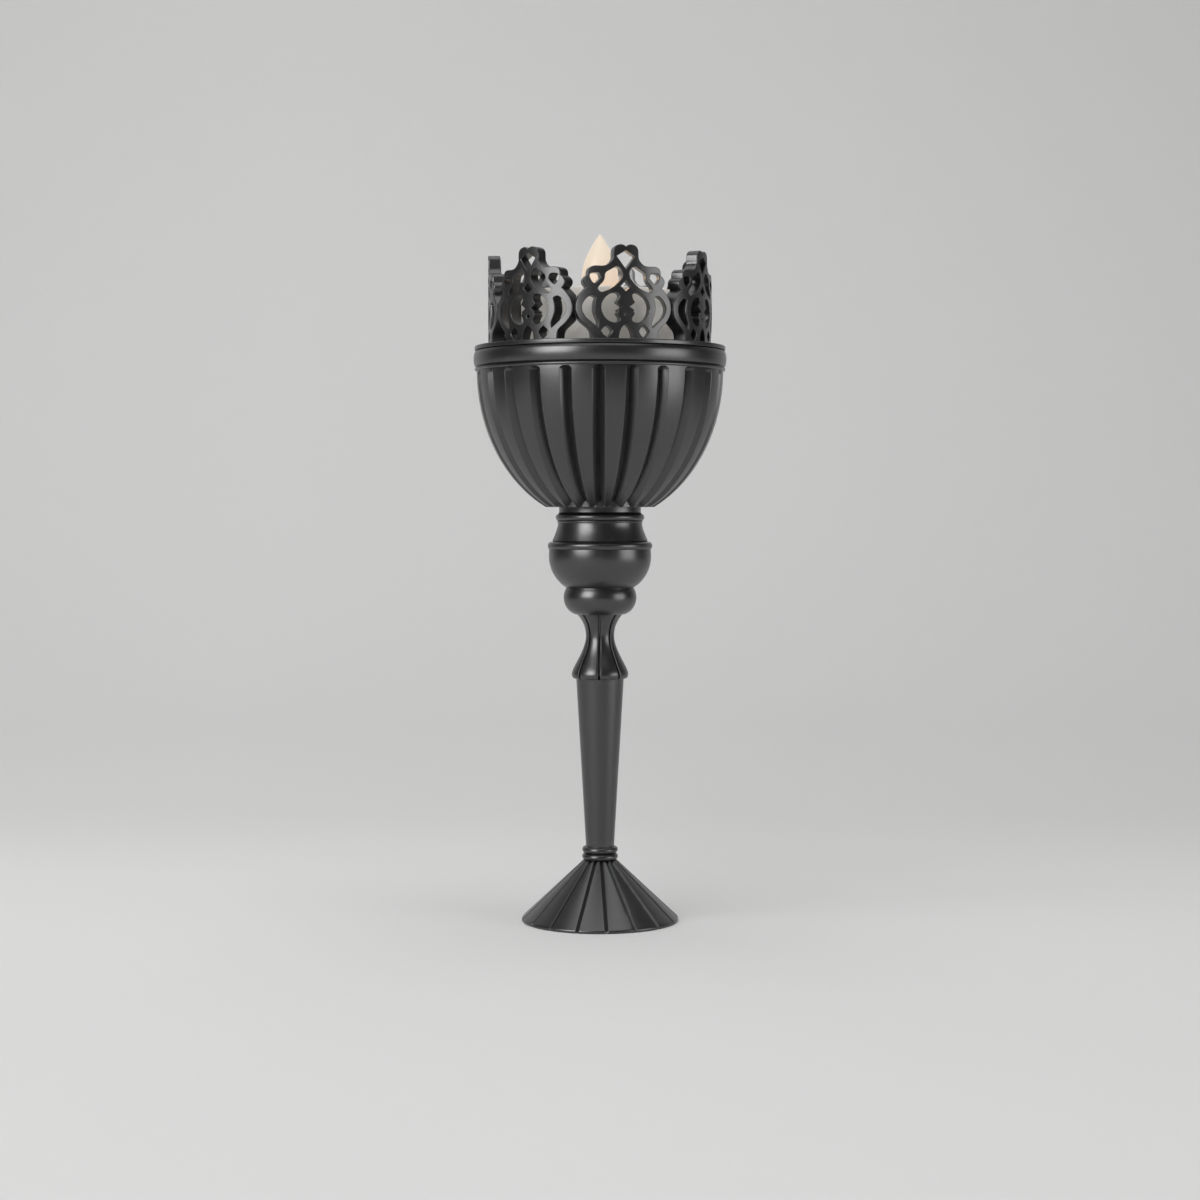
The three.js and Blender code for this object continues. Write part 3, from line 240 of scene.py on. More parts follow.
DRAWN_SIDE_HOLES = [
    [[(2.1, 15)], [(1.3, 14.72), (0.8, 13.75), (0.98, 12.6), (1.98, 11.36), (3.12, 10.5), (4.35, 9.93),
                   (5.2, 9.78), (5.8, 10.4), (5.4, 11.1), (4.75, 11.8), (4.42, 12.5), (4.35, 13.2),
                   (4.1, 13.8), (3.2, 14.35), (2.1, 15)]],
    [[(5.2, 12.7)], [(5.55, 13.6), (6.35, 13.75), (7.25, 13.55), (7.4, 12.75), (6.5, 11.55), (5.2, 12.7)]],
    [[(2, 7.6)], [(1.43, 8.65), (1.55, 9.4), (2.42, 9.62), (3.5, 9.24), (4.45, 8.4), (5.02, 7.24),
                  (5.02, 5.96), (4.55, 4.8), (3.7, 3.88), (2.54, 3.48), (1.58, 3.66), (1.34, 4.32),
                  (1.95, 5.3)],
     [(1.65, 5.8)], [(1.85, 6.05)], [(0.85, 6.7)], [(2, 7.6)]],
    [[(7.2, 9.05)], [(8.1, 8.4), (8.75, 7.45), (8.97, 6.57), (8.77, 5.6), (8.15, 4.55), (7.3, 3.75),
                     (5.85, 2.5)],
     [(5.75, 3.6), (6.15, 4.6), (6.5, 5.7), (6.55, 6.7), (6.45, 7.8), (6.3, 8.7), (7.2, 9.05)]],
    [[(3.95, 2.9)], [(4.68, 2.36)], [(5.12, 1.7)], [(4.65, 0.94)], [(3.9, 0.3)], [(3.24, 0.92)],
     [(2.84, 1.65)], [(3.22, 2.34)], [(3.95, 2.9)]],
]


# Curves

def swell(belly, inset, height, steps, core=0.0):
    """Ellipse stretch from its narrow end up to its belly, as (radius, up) rows; fuller on a wider core."""
    lowest = math.acos((belly - inset - core) / (belly - core))
    rise = height / math.sin(lowest)
    angle = lowest * (1 - np.arange(steps + 1) / steps)
    return np.stack([core + (belly - core) * np.cos(angle), height - rise * np.sin(angle)], 1)


def taper(belly, inset, height, steps):
    rows = swell(belly, inset, height, steps)[::-1].copy()
    rows[:, 1] = height - rows[:, 1]
    return rows


def bead(core, bulge, bottom, height, steps):
    angle = np.pi * np.arange(steps + 1) / steps
    return np.stack([core + bulge * np.sin(angle), bottom + height * (1 - np.cos(angle)) / 2], 1)


def bezier(points, steps):
    t = np.linspace(0, 1, steps + 1)[:, None]
    layers = [np.array(p, float)[None, :] for p in points]
    while len(layers) > 1:
        layers = [a * (1 - t) + b * t for a, b in zip(layers, layers[1:])]
    return layers[0]


def smooth_run(points, steps):
    """Catmull-Rom run through points, ends included."""
    p = np.array(points, float)
    out = [p[0]]
    for i in range(len(p) - 1):
        a, b, c, d = p[max(i - 1, 0)], p[i], p[i + 1], p[min(i + 2, len(p) - 1)]
        for k in range(1, steps + 1):
            t = k / steps
            out.append(0.5 * (2 * b + (c - a) * t + (2 * a - 5 * b + 4 * c - d) * t * t
                              + (3 * b - a - 3 * c + d) * t ** 3))
    return np.array(out)


def stack(*parts):
    """Rows of several stretches one after another, repeated points left out."""
    rows = []
    for part in parts:
        for row in np.atleast_2d(np.array(part, float)):
            if not rows or np.hypot(*(row - rows[-1])) > 1e-6:
                rows.append(row)
    return np.array(rows)


def bored(outside):
    """Closed outline: up the outside and down a straight bore."""
    return stack([BORE, outside[0][1]], outside, [BORE, outside[-1][1]])


# Meshes

def new_object(name, mesh):
    obj = bpy.data.objects.new(name, mesh)
    bpy.context.scene.collection.objects.link(obj)
    return obj


def weigh_normals(obj):
    """Large faces keep their own shading where small edge faces meet them."""
    weighted = obj.modifiers.new("Weighted", "WEIGHTED_NORMAL")
    weighted.keep_sharp = True
    weighted.weight = 90


def mesh_from(name, verts, faces, sharp=None):
    mesh = bpy.data.meshes.new(name)
    mesh.from_pydata((np.array(verts, float) * MM).tolist(), [], faces)
    mesh.validate()
    mesh.polygons.foreach_set("use_smooth", [True] * len(mesh.polygons))
    if sharp is not None:
        mesh.set_sharp_from_angle(angle=math.radians(sharp))
    mesh.update()
    return new_object(name, mesh)


def ring_grid(name, radii, angles, heights, sharp=None):
    """Closed surface around the axis from rows of radius, angle and height; the rows close on themselves.
    A row of radius zero becomes one point."""
    rows, columns = radii.shape
    verts = []
    index = np.zeros((rows, columns), int)
    for i in range(rows):
        if np.all(radii[i] < 1e-9):
            index[i, :] = len(verts)
            verts.append((0.0, 0.0, heights[i, 0]))
            continue
        index[i, :] = len(verts) + np.arange(columns)
        verts.extend(zip(radii[i] * np.sin(angles[i]), -radii[i] * np.cos(angles[i]), heights[i]))
    faces = []
    for i in range(rows):
        j = (i + 1) % rows
        low, high = index[i], index[j]
        if low[0] == low[1] and high[0] == high[1]:
            continue
        for c in range(columns):
            d = (c + 1) % columns
            face = [low[c], low[d], high[d], high[c]]
            face = [v for k, v in enumerate(face) if v not in face[:k]]
            faces.append([int(v) for v in face])
    return mesh_from(name, verts, faces, sharp)


def turned(name, outline, seat, columns=128, sharp=32):
    """Plain turned piece from a closed outline of (radius, up) rows."""
    rows = np.array(outline, float)
    turn = 2 * np.pi * np.arange(columns) / columns
    radii = np.repeat(rows[:, :1], columns, 1)
    heights = np.repeat(rows[:, 1:] + seat, columns, 1)
    angles = np.repeat(turn[None, :], len(rows), 0)
    return ring_grid(name, radii, angles, heights, sharp)


def row_normals(rows):
    """Outward normals (radius, up) along an open outline that runs upwards."""
    step = np.gradient(rows, axis=0)
    normal = np.stack([step[:, 1], -step[:, 0]], 1)
    return normal / np.linalg.norm(normal, axis=1)[:, None]


def grooved(name, outside, inside, seat, count, start, groove, rib_columns=6, sharp=35, end=None):
    """Turned piece with a ring of grooves down its outside. groove(i) gives the cut at outside row i as
    (across, depth) rows from edge to edge, in millimetres; inside rows close the outline, plain. With an end
    step the grooves drop straight down to the lowest plane, set back by that step."""
    normals = row_normals(outside)
    pitch = 2 * np.pi / count
    all_radii, all_angles, all_heights = [], [], []
    for i, (radius, up) in enumerate(outside):
        cut = groove(i)
        across = np.arctan2(cut[:, 0], radius)
        across = np.clip(across, -pitch * 0.49, pitch * 0.49)
        edge = across[-1]
        rib = np.linspace(edge, pitch - edge, rib_columns + 2)[1:-1]
        local = np.concatenate([across, rib])
        depth = np.concatenate([cut[:, 1], np.zeros(rib_columns)])
        turn = np.concatenate([math.radians(start) + k * pitch + local for k in range(count)])
        deep = np.tile(depth, count)
        all_radii.append(radius - deep * normals[i, 0])
        all_heights.append(seat + up - deep * normals[i, 1])
        all_angles.append(turn)
    if end is not None:
        all_radii.insert(0, all_radii[0] - end)
        all_heights.insert(0, np.full(len(turn), seat + outside[0][1]))
        all_angles.insert(0, all_angles[0])
    for radius, up in inside:
        all_radii.append(np.full(len(turn), radius))
        all_heights.append(np.full(len(turn), seat + up))
        all_angles.append(math.radians(start) + 2 * np.pi * np.arange(len(turn)) / len(turn) + across[0])
    obj = ring_grid(name, np.array(all_radii), np.array(all_angles), np.array(all_heights), sharp)
    weigh_normals(obj)
    return obj


def merged(obj, extra):
    """First object with the mesh of the second added to its own."""
    bm = bmesh.new()
    bm.from_mesh(obj.data)
    bm.from_mesh(extra.data)
    bm.to_mesh(obj.data)
    bm.free()
    bpy.data.objects.remove(extra)
    return obj


def vee(width, depth, soft=0.05):
    """Groove with flat walls and slightly softened edges, as (across, depth) rows."""
    half = width / 2
    wall = np.array([half - soft, half * 0.6, half * 0.3, min(0.06, half * 0.15)])
    side = [(half + soft, 0.0), (half + soft * 0.3, depth * 0.012)]
    side += [(x, depth * (1 - x / half)) for x in wall]
    rows = [(-x, d) for x, d in side] + [(0.0, depth)] + [(x, d) for x, d in reversed(side)]
    return np.array(rows)


def slot(width, depth, soft):
    """Groove with steep walls and rounded edges, as (across, depth) rows."""
    half = width / 2
    side = [(half + soft, 0.0), (half + soft * 0.5, soft * 0.14), (half + soft * 0.14, soft * 0.5),
            (half, soft), (half * 0.8, depth), (half * 0.3, depth)]
    return np.array([(-x, d) for x, d in side] + [(x, d) for x, d in reversed(side)])


# Foot, with grooves that run over its edge
def make_foot():
    shoulder = np.array([FOOT_RADIUS - FOOT_SHOULDER, FOOT_EDGE + FOOT_SHOULDER])
    step_in, step_up = FOOT_UNDERCUT_STEP
    edge = stack([FOOT_RADIUS - FOOT_UNDERCUT, 0.0], [FOOT_RADIUS - step_in, step_up],
                 bezier([(FOOT_RADIUS, FOOT_EDGE - FOOT_SHOULDER), (FOOT_RADIUS, FOOT_EDGE), shoulder], 8))
    share = np.linspace(0, 1, 25)[1:, None]
    cone = shoulder * (1 - share) + np.array([FOOT_TOP_RADIUS, FOOT_HEIGHT]) * share
    outside = np.concatenate([edge, cone])
    recess = FOOT_RADIUS - FOOT_RIM_WIDTH
    inside = [[BORE, FOOT_HEIGHT], [BORE, FOOT_POCKET_TOP], [FOOT_POCKET_RADIUS, FOOT_POCKET_TOP],
              [FOOT_POCKET_RADIUS, PAD_THICKNESS], [recess, PAD_THICKNESS], [recess, 0.0]]
    line = vee(FOOT_GROOVE_WIDTH, FOOT_GROOVE_DEPTH)

    def groove(i):
        cut = line.copy()
        cut[:, 1] *= min(1.0, FOOT_GROOVE_EDGE_SHARE + (1 - FOOT_GROOVE_EDGE_SHARE) * i / (len(edge) - 1))
        return cut

    return grooved("foot_fluted", outside, inside, 0.0, FOOT_GROOVES, FOOT_GROOVE_START, groove)


def make_skirt():
    waist_up = SKIRT_LIP_HEIGHT + SKIRT_FLARE_HEIGHT
    outside = stack(
        bezier([(SKIRT_LIP_RADIUS - SKIRT_LIP_ROUND, 0), (SKIRT_LIP_RADIUS, 0),
                (SKIRT_LIP_RADIUS, SKIRT_LIP_HEIGHT)], 8),
        bezier([(SKIRT_LIP_RADIUS, SKIRT_LIP_HEIGHT), (SKIRT_LIP_RADIUS, SKIRT_LIP_HEIGHT + SKIRT_LIP_PULL),
                (SKIRT_WAIST, waist_up - SKIRT_WAIST_PULL), (SKIRT_WAIST, waist_up)], 24),
        bezier([(SKIRT_WAIST, waist_up), (SKIRT_WAIST, waist_up + SKIRT_TOP_PULL),
                (SKIRT_TOP_RADIUS, SKIRT_HEIGHT)], 18),
    )
    inside = [[BORE, SKIRT_HEIGHT], [BORE, 0.0]]
    line = slot(SKIRT_GROOVE_WIDTH, SKIRT_GROOVE_DEPTH, SKIRT_GROOVE_ROUND)

    def groove(i):
        return line

    return grooved("skirt_fluted", outside, inside, SKIRT_SEAT, SKIRT_GROOVES, SKIRT_GROOVE_START, groove, 8)


def make_knop(name, sizes, heights, seat):
    belly, core, foot_inset, top_inset, top_round = sizes
    lower = swell(belly, foot_inset, heights[0], 24, core)
    upper = taper(belly, top_inset, heights[1] - top_round, 10) + np.array([0, heights[0]])
    shoulder = upper[-1] + np.array([[0, 0], [0, top_round], [-top_round, top_round]])
    return turned(name, bored(stack(lower, upper, bezier(shoulder, 8))), seat, 112)


def make_bead_ring(name, radius, bulge, height, seat, columns=96):
    return turned(name, bored(bead(radius - bulge, bulge, 0, height, 14)), seat, columns)


# Bead whose lower half stands out less and reaches a little over the knop
def make_knop_ring():
    rows = bead(KNOP_RING_RADIUS - KNOP_RING_BULGE, KNOP_RING_BULGE, -KNOP_RING_DROP,
                KNOP_RING_HEIGHT + KNOP_RING_DROP, 20)
    lower = np.arange(len(rows)) < len(rows) // 2
    rows[lower, 0] = KNOP_RING_RADIUS - (KNOP_RING_RADIUS - rows[lower, 0]) * KNOP_RING_FOOT
    return turned("knop_ring_turned", bored(rows), KNOP_RING_SEAT, 128)


def make_neck():
    flare_up, bead_up, _ = NECK_HEIGHTS
    top_radius = NECK_RADIUS - NECK_TOP_INSET
    bead_top = flare_up + bead_up
    outside = stack(
        [NECK_RADIUS + NECK_FLARE - SEAM, 0],
        bezier([(NECK_RADIUS + NECK_FLARE * NECK_FLARE_FOOT, SEAM), (NECK_RADIUS, NECK_KNEE),
                (NECK_RADIUS, flare_up - NECK_STEP_DROP)], 20),
        bead(NECK_RADIUS, NECK_STEP_BULGE, flare_up - NECK_STEP_DROP, NECK_STEP_HEIGHT, 8),
        bead(NECK_RADIUS - CREASE / 2, NECK_BEAD_BULGE + CREASE / 2, flare_up - CREASE / 2, bead_up, 18),
        [NECK_RADIUS - 1.5 * CREASE, bead_top],
        bezier([(NECK_RADIUS + CREASE / 2, bead_top + CREASE / 2), (top_radius, bead_top + NECK_COVE / 3),
                (top_radius, bead_top + NECK_COVE)], 10),
        [top_radius, sum(NECK_HEIGHTS)],
    )
    return turned("neck_turned", bored(outside), NECK_SEAT, 112)


# Bowl with vee flutes that end in a short arch under the rim, and upright on a collar at the base
def make_bowl():
    lowest = math.acos(BOWL_BASE / BOWL_RADIUS)
    rise = BOWL_HEIGHT / math.sin(lowest)
    head_top = BOWL_HEIGHT - FLUTE_TOP_MARGIN
    head_foot = head_top - FLUTE_HEAD
    head_ups = head_foot + FLUTE_HEAD * np.sin(np.linspace(0, np.pi / 2, 10))
    ups = np.concatenate([
        BOWL_HEIGHT - rise * np.sin(np.linspace(lowest, math.asin((BOWL_HEIGHT - head_foot) / rise), 44)),
        head_ups[1:], [BOWL_HEIGHT - FLUTE_TOP_MARGIN / 2, BOWL_HEIGHT],
    ])
    outside = np.stack([BOWL_RADIUS * np.sqrt(np.clip(1 - ((BOWL_HEIGHT - ups) / rise) ** 2, 0, 1)), ups], 1)
    line = vee(FLUTE_WIDTH, FLUTE_DEPTH, FLUTE_EDGE)
    closed = line * np.array([FLUTE_CLOSED_SHARE, 0.0])

    def groove(i):
        up = outside[i, 1]
        if up > head_top - 1e-6:
            return closed
        share = FLUTE_BASE_SHARE + (1 - FLUTE_BASE_SHARE) * min(1.0, up / (BOWL_HEIGHT / 2))
        if up > head_foot:
            share *= math.sqrt(max(0.0, 1 - ((up - head_foot) / FLUTE_HEAD) ** 2)) ** FLUTE_HEAD_POWER
        return line * max(share, FLUTE_LEAST_SHARE) + closed * (1 - share)

    well = swell(BOWL_MOUTH, BOWL_MOUTH - BOWL_WELL, BOWL_HEIGHT - BOWL_FLOOR, 16)[::-1]
    inside = stack(well + np.array([0, BOWL_FLOOR]), [BORE, BOWL_FLOOR], [BORE, 0.0])
    bowl = grooved("bowl_fluted", outside, inside, BOWL_SEAT, FLUTES, FLUTE_START, groove, 8, FLUTE_SHARP,
                   FLUTE_END)
    collar = [[BORE, FLUTE_END], [BOWL_COLLAR_RADIUS, FLUTE_END], [BOWL_COLLAR_RADIUS, BOWL_COLLAR_HEIGHT],
              [BORE, BOWL_COLLAR_HEIGHT]]
    return merged(bowl, turned("bowl_collar", collar, BOWL_SEAT, 144))


def make_rim():
    lip_top = RIM_LOWER_LIP - RIM_GROOVE_EXTRA
    band_bottom = RIM_LOWER_LIP + RIM_GROOVE_WIDTH + RIM_GROOVE_EXTRA
    band_top = RIM_LOWER_LIP + RIM_GROOVE_WIDTH + RIM_BAND_HEIGHT
    band_height = band_top - band_bottom
    upper_bottom = band_top + RIM_GROOVE_WIDTH
    floor = RIM_RADIUS - RIM_GROOVE_DEPTH
    spigot = BOWL_MOUTH - RIM_SPIGOT_CLEARANCE
    ledge = RIM_HEIGHT - PAN_FLANGE_THICKNESS
    lower_half = lip_top / 2
    edge = RIM_EDGE
    share = np.linspace(-1, 1, 25)[:, None]
    shoulder = RIM_BAND_SHOULDER * np.clip(2 * share - 1, 0, 1) ** 2
    band = np.concatenate([RIM_RADIUS + RIM_BAND_BULGE * (1 - share ** 2) - shoulder,
                           band_bottom + band_height * (1 + share * (1 - edge / band_height)) / 2], 1)
    upper_lip = stack(
        bezier([(RIM_RADIUS - edge, upper_bottom), (RIM_RADIUS, upper_bottom),
                (RIM_RADIUS, upper_bottom + edge)], 4),
        bezier([(RIM_RADIUS, RIM_HEIGHT - 3 * edge), (RIM_RADIUS, RIM_HEIGHT),
                (RIM_RADIUS - 3 * edge, RIM_HEIGHT)], 8),
    )
    outline = stack(
        [RIM_BORE, -RIM_SPIGOT_DEPTH], [spigot, -RIM_SPIGOT_DEPTH], [spigot, 0],
        bead(RIM_RADIUS - lower_half, lower_half, 0, lip_top, 14),
        [floor, lip_top], [RIM_RADIUS - edge, band_bottom], band,
        [floor, band_top], upper_lip,
        [RIM_COUNTERBORE + RIM_CHAMFER, RIM_HEIGHT], [RIM_COUNTERBORE, RIM_HEIGHT - RIM_CHAMFER],
        [RIM_COUNTERBORE, ledge], [RIM_BORE, ledge],
    )
    return turned("rim_turned", outline, RIM_SEAT, 224)


def make_pan():
    ledge = PAN_DEPTH - PAN_FLANGE_THICKNESS
    lip = PAN_LIP_ROUND
    outline = stack(
        [0, -PAN_FLOOR], [PAN_OUTER - PAN_CORNER, -PAN_FLOOR],
        [PAN_OUTER - PAN_CORNER_STEP, -PAN_FLOOR + PAN_CORNER_STEP],
        [PAN_OUTER, -PAN_FLOOR + PAN_CORNER], [PAN_OUTER, ledge], [PAN_FLANGE, ledge],
        bezier([(PAN_FLANGE, PAN_DEPTH - lip), (PAN_FLANGE, PAN_DEPTH), (PAN_FLANGE - lip, PAN_DEPTH)], 4),
        bezier([(PAN_INNER + lip, PAN_DEPTH), (PAN_INNER, PAN_DEPTH), (PAN_INNER, PAN_DEPTH - lip)], 4),
        [PAN_INNER, PAN_FILLET], [PAN_INNER - PAN_FILLET, 0], [0, 0],
    )
    return turned("pan_turned", outline, TEA_LIGHT_SEAT, 160)


def make_pad():
    radius = FOOT_RADIUS - FOOT_RIM_WIDTH - FIT
    corner = [[radius - inset, up] for inset, up in PAD_CORNER]
    outline = stack([0, 0], corner, [radius, PAD_THICKNESS], [0, PAD_THICKNESS])
    return turned("pad_felt", outline, 0.0, 128)


# Crown panels

def drawn_loop(start, stretches, side, steps):
    rows = [np.array([start], float)]
    for stretch in stretches:
        if len(stretch) == 1:
            rows.append(np.array(stretch, float))
        else:
            rows.append(smooth_run([rows[-1][-1]] + list(stretch), steps)[1:])
    loop = np.concatenate(rows) * np.array([side, 1])
    keep = [i for i in range(len(loop)) if np.hypot(*(loop[i] - loop[i - 1])) > SHORTEST_EDGE]
    return loop[keep]


def mirror_back(start, stretches):
    ends = [start] + [stretch[-1] for stretch in stretches]
    back = []
    for i, stretch in enumerate(stretches):
        back.append([(-x, y) for x, y in reversed([ends[i]] + list(stretch[:-1]))])
    return back[::-1]


def inset_loop(loop, distance):
    """Loop moved to its left by a distance, with mitred corners."""
    before = loop - np.roll(loop, 1, 0)
    after = np.roll(loop, -1, 0) - loop
    n1 = np.stack([-before[:, 1], before[:, 0]], 1) / np.linalg.norm(before, axis=1)[:, None]
    n2 = np.stack([-after[:, 1], after[:, 0]], 1) / np.linalg.norm(after, axis=1)[:, None]
    both = n1 + n2
    scale = np.clip(2 / np.maximum((both ** 2).sum(1), 0.9), 0, 2.2)
    return loop + distance * both / 2 * scale[:, None]


def signed_area(loop):
    nxt = np.roll(loop, -1, 0)
    return 0.5 * np.sum(loop[:, 0] * nxt[:, 1] - nxt[:, 0] * loop[:, 1])


def panel_mesh():
    """One panel at the front as a bmesh in millimetres: across, up and depth share, then bent to the ring."""
    edge_stretches = DRAWN_EDGE + mirror_back(DRAWN_NOTCH, DRAWN_EDGE)
    loops = [drawn_loop(DRAWN_NOTCH, edge_stretches, 1, PANEL_CURVE_STEPS)]
    for hole in DRAWN_MIDDLE_HOLES:
        loops.append(drawn_loop(hole[0][0], hole[1:], 1, PANEL_CURVE_STEPS))
    for hole in DRAWN_SIDE_HOLES:
        for side in (1, -1):
            loops.append(drawn_loop(hole[0][0], hole[1:], side, PANEL_CURVE_STEPS))
    half_width = CROWN_OUTER * math.sin(math.pi / PANELS) - PANEL_SIDE_SPACE
    loops = [loop * np.array([half_width / DRAWN_HALF_WIDTH, 1]) for loop in loops]
    loops = [loop if (signed_area(loop) > 0) == (k == 0) else loop[::-1] for k, loop in enumerate(loops)]
    thick = CROWN_OUTER - CROWN_INNER
    edge = PANEL_EDGE_ROUND
    back_edge = PANEL_BACK_ROUND
    tilts = np.linspace(0, np.pi / 2, PANEL_ROUND_STEPS)
    layers = [(edge * (1 - math.sin(t)), edge * (1 - math.cos(t)) / thick) for t in tilts[:-1]]
    layers += [(0.0, edge / thick), (0.0, 1 - back_edge / thick)]
    layers += [(back_edge * 0.3, 1 - back_edge * 0.3 / thick), (back_edge, 1.0)]
    bm = bmesh.new()
    faces_edges = {0: [], len(layers) - 1: []}
    for loop in loops:
        rings = []
        for inset, share in layers:
            ring = inset_loop(loop, inset) if inset else loop
            rings.append([bm.verts.new((x, y, share)) for x, y in ring])
        for a, b in zip(rings, rings[1:]):
            for i in range(len(a)):
                j = (i + 1) % len(a)
                bm.faces.new((a[j], a[i], b[i], b[j]))
        for k in faces_edges:
            ring = rings[k]
            for i in range(len(ring)):
                e = bm.edges.get((ring[i], ring[(i + 1) % len(ring)]))
                faces_edges[k].append(e)
    for k in faces_edges:
        bmesh.ops.triangle_fill(bm, use_beauty=True, use_dissolve=False, edges=faces_edges[k])
    for u in np.arange(-PANEL_CUT_REACH, PANEL_CUT_REACH + 0.1, PANEL_CUT_STEP):
        geom = bm.verts[:] + bm.edges[:] + bm.faces[:]
        bmesh.ops.bisect_plane(bm, geom=geom, plane_co=(u, 0, 0), plane_no=(1, 0, 0), dist=TOLERANCE)
    shares = bm.verts.layers.float.new("share")
    sector = math.pi / PANELS - PANEL_GAP / 2 / CROWN_INNER
    for v in bm.verts:
        u, up, share = v.co
        v[shares] = share
        front = math.sqrt(CROWN_OUTER ** 2 - u * u)
        back = max(math.sqrt(CROWN_INNER ** 2 - u * u), abs(u) / math.tan(sector))
        v.co = (u, -(front * (1 - share) + back * share), up)
    bmesh.ops.recalc_face_normals(bm, faces=bm.faces[:])
    bevel = edge / thick
    kinds = {}
    for face in bm.faces:
        face.smooth = True
        low, high = min(v[shares] for v in face.verts), max(v[shares] for v in face.verts)
        front_or_back = 0 if high < TOLERANCE else 1 if low > 1 - TOLERANCE else None
        wall_or_round = 2 if high - low > 1 - 2.5 * bevel else 3
        kinds[face] = wall_or_round if front_or_back is None else front_or_back
    for e in bm.edges:
        same = len({kinds[face] for face in e.link_faces}) == 1
        e.smooth = same and e.calc_face_angle(0.0) < math.radians(PANEL_SHARP)
    return bm


def ring_shaded(mesh):
    """Front and back of a panel take the normals of the round wall; the edges keep their own."""
    share = [item.value for item in mesh.attributes["share"].data]
    normals = [corner.vector.copy() for corner in mesh.corner_normals]
    for face in mesh.polygons:
        shares = [share[v] for v in face.vertices]
        if max(shares) > TOLERANCE and min(shares) < 1 - TOLERANCE:
            continue
        way = 1 if max(shares) < TOLERANCE else -1
        for corner in face.loop_indices:
            x, y, _ = mesh.vertices[mesh.loops[corner].vertex_index].co
            radius = math.hypot(x, y)
            normals[corner] = (way * x / radius, way * y / radius, 0.0)
    mesh.normals_split_custom_set(normals)
    mesh.attributes.remove(mesh.attributes["share"])


def make_panels():
    shape = panel_mesh()
    panels = []
    for i in range(PANELS):
        turn = math.radians(PANEL_START + 360 / PANELS * i)
        mesh = bpy.data.meshes.new(f"panel_filigree_{i + 1}")
        copy = shape.copy()
        for v in copy.verts:
            x, y, z = v.co
            v.co = ((x * math.cos(turn) - y * math.sin(turn)) * MM,
                    (x * math.sin(turn) + y * math.cos(turn)) * MM, (z + RIM_TOP) * MM)
        copy.to_mesh(mesh)
        copy.free()
        ring_shaded(mesh)
        panels.append(new_object(f"panel_filigree_{i + 1}", mesh))
    shape.free()
    return panels


# Tea light

def make_shell():
    hole = FLAME_NECK + FIT
    bore = TEA_LIGHT_RADIUS - SHELL_WALL
    rebate = bore + SHELL_REBATE
    inner = SHELL_TOP_RADIUS - SHELL_TOP_WALL
    dish_edge = SHELL_TOP_RADIUS - SHELL_WALL - SHELL_EDGE_ROUND
    dish_floor = TEA_LIGHT_HEIGHT - DISH_DEPTH
    ceiling = dish_floor - SHELL_TOP_THICKNESS
    top = TEA_LIGHT_HEIGHT + SHELL_TOP_RISE
    low, high = SHELL_TAPER
    middle = (low + high) / 2
    edge = taper(SHELL_TOP_RADIUS, SHELL_EDGE_ROUND, SHELL_EDGE_ROUND, 6)
    edge[:, 1] += top - SHELL_EDGE_ROUND
    outline = stack(
        [rebate, 0], [TEA_LIGHT_RADIUS - SHELL_FOOT_ROUND, 0], [TEA_LIGHT_RADIUS, SHELL_FOOT_ROUND],
        bezier([(TEA_LIGHT_RADIUS, low), (TEA_LIGHT_RADIUS, middle), (SHELL_TOP_RADIUS, middle),
                (SHELL_TOP_RADIUS, high)], 14),
        edge,
        bezier([(SHELL_TOP_RADIUS - SHELL_EDGE_ROUND, top), (dish_edge + DISH_LIP, top),
                (dish_edge, top - DISH_DEPTH / 2), (hole + SHELL_WALL, dish_floor)], 18),
        [hole + FLAME_HOLE_ROUND, dish_floor], [hole, dish_floor - FLAME_HOLE_ROUND], [hole, ceiling],
        [inner, ceiling],
        [inner, high], [bore, low], [bore, BASE_THICKNESS], [rebate, BASE_THICKNESS],
    )
    return turned("candle_wax", outline, TEA_LIGHT_SEAT, 160)


def make_flame():
    dish_floor = TEA_LIGHT_HEIGHT - DISH_DEPTH
    flange_top = dish_floor - SHELL_TOP_THICKNESS - FIT
    belly_up = dish_floor + FLAME_BELLY_HEIGHT
    bore = FLAME_NECK - FLAME_WALL
    flange_width, flange_thickness = FLAME_FLANGE
    flange = FLAME_NECK + flange_width
    flange_bottom = flange_top - flange_thickness
    share = np.linspace(0, 1, 36)[1:-1]
    drop = np.stack([FLAME_RADIUS * np.cos(share * np.pi / 2) ** FLAME_FULLNESS,
                     belly_up + share * FLAME_TIP_LENGTH], 1)
    outline = stack(
        [bore, flange_bottom], [flange, flange_bottom], [flange, flange_top], [FLAME_NECK, flange_top],
        bezier([(FLAME_NECK, dish_floor), (FLAME_RADIUS, dish_floor + FLAME_BELLY_HEIGHT / 2),
                (FLAME_RADIUS, belly_up)], 16),
        drop, [0, belly_up + FLAME_TIP_LENGTH], [0, belly_up + bore], [bore, belly_up],
    )
    return turned("flame_drop", outline, TEA_LIGHT_SEAT, 72, 40)


# Materials

def new_material(name):
    material = bpy.data.materials.new(name)
    material.use_nodes = True
    tree = material.node_tree
    shader = tree.nodes["Principled BSDF"]
    return material, tree, shader


def node(tree, kind, **inputs):
    made = tree.nodes.new(kind)
    for key, value in inputs.items():
        made.inputs[key.replace("_", " ")].default_value = value
    return made


def noise_factor(tree, place, scale, detail, rough=0.5):
    made = node(tree, "ShaderNodeTexNoise", Scale=scale, Detail=detail, Roughness=rough)
    tree.links.new(place.outputs["Object"], made.inputs["Vector"])
    return made.outputs["Fac"]


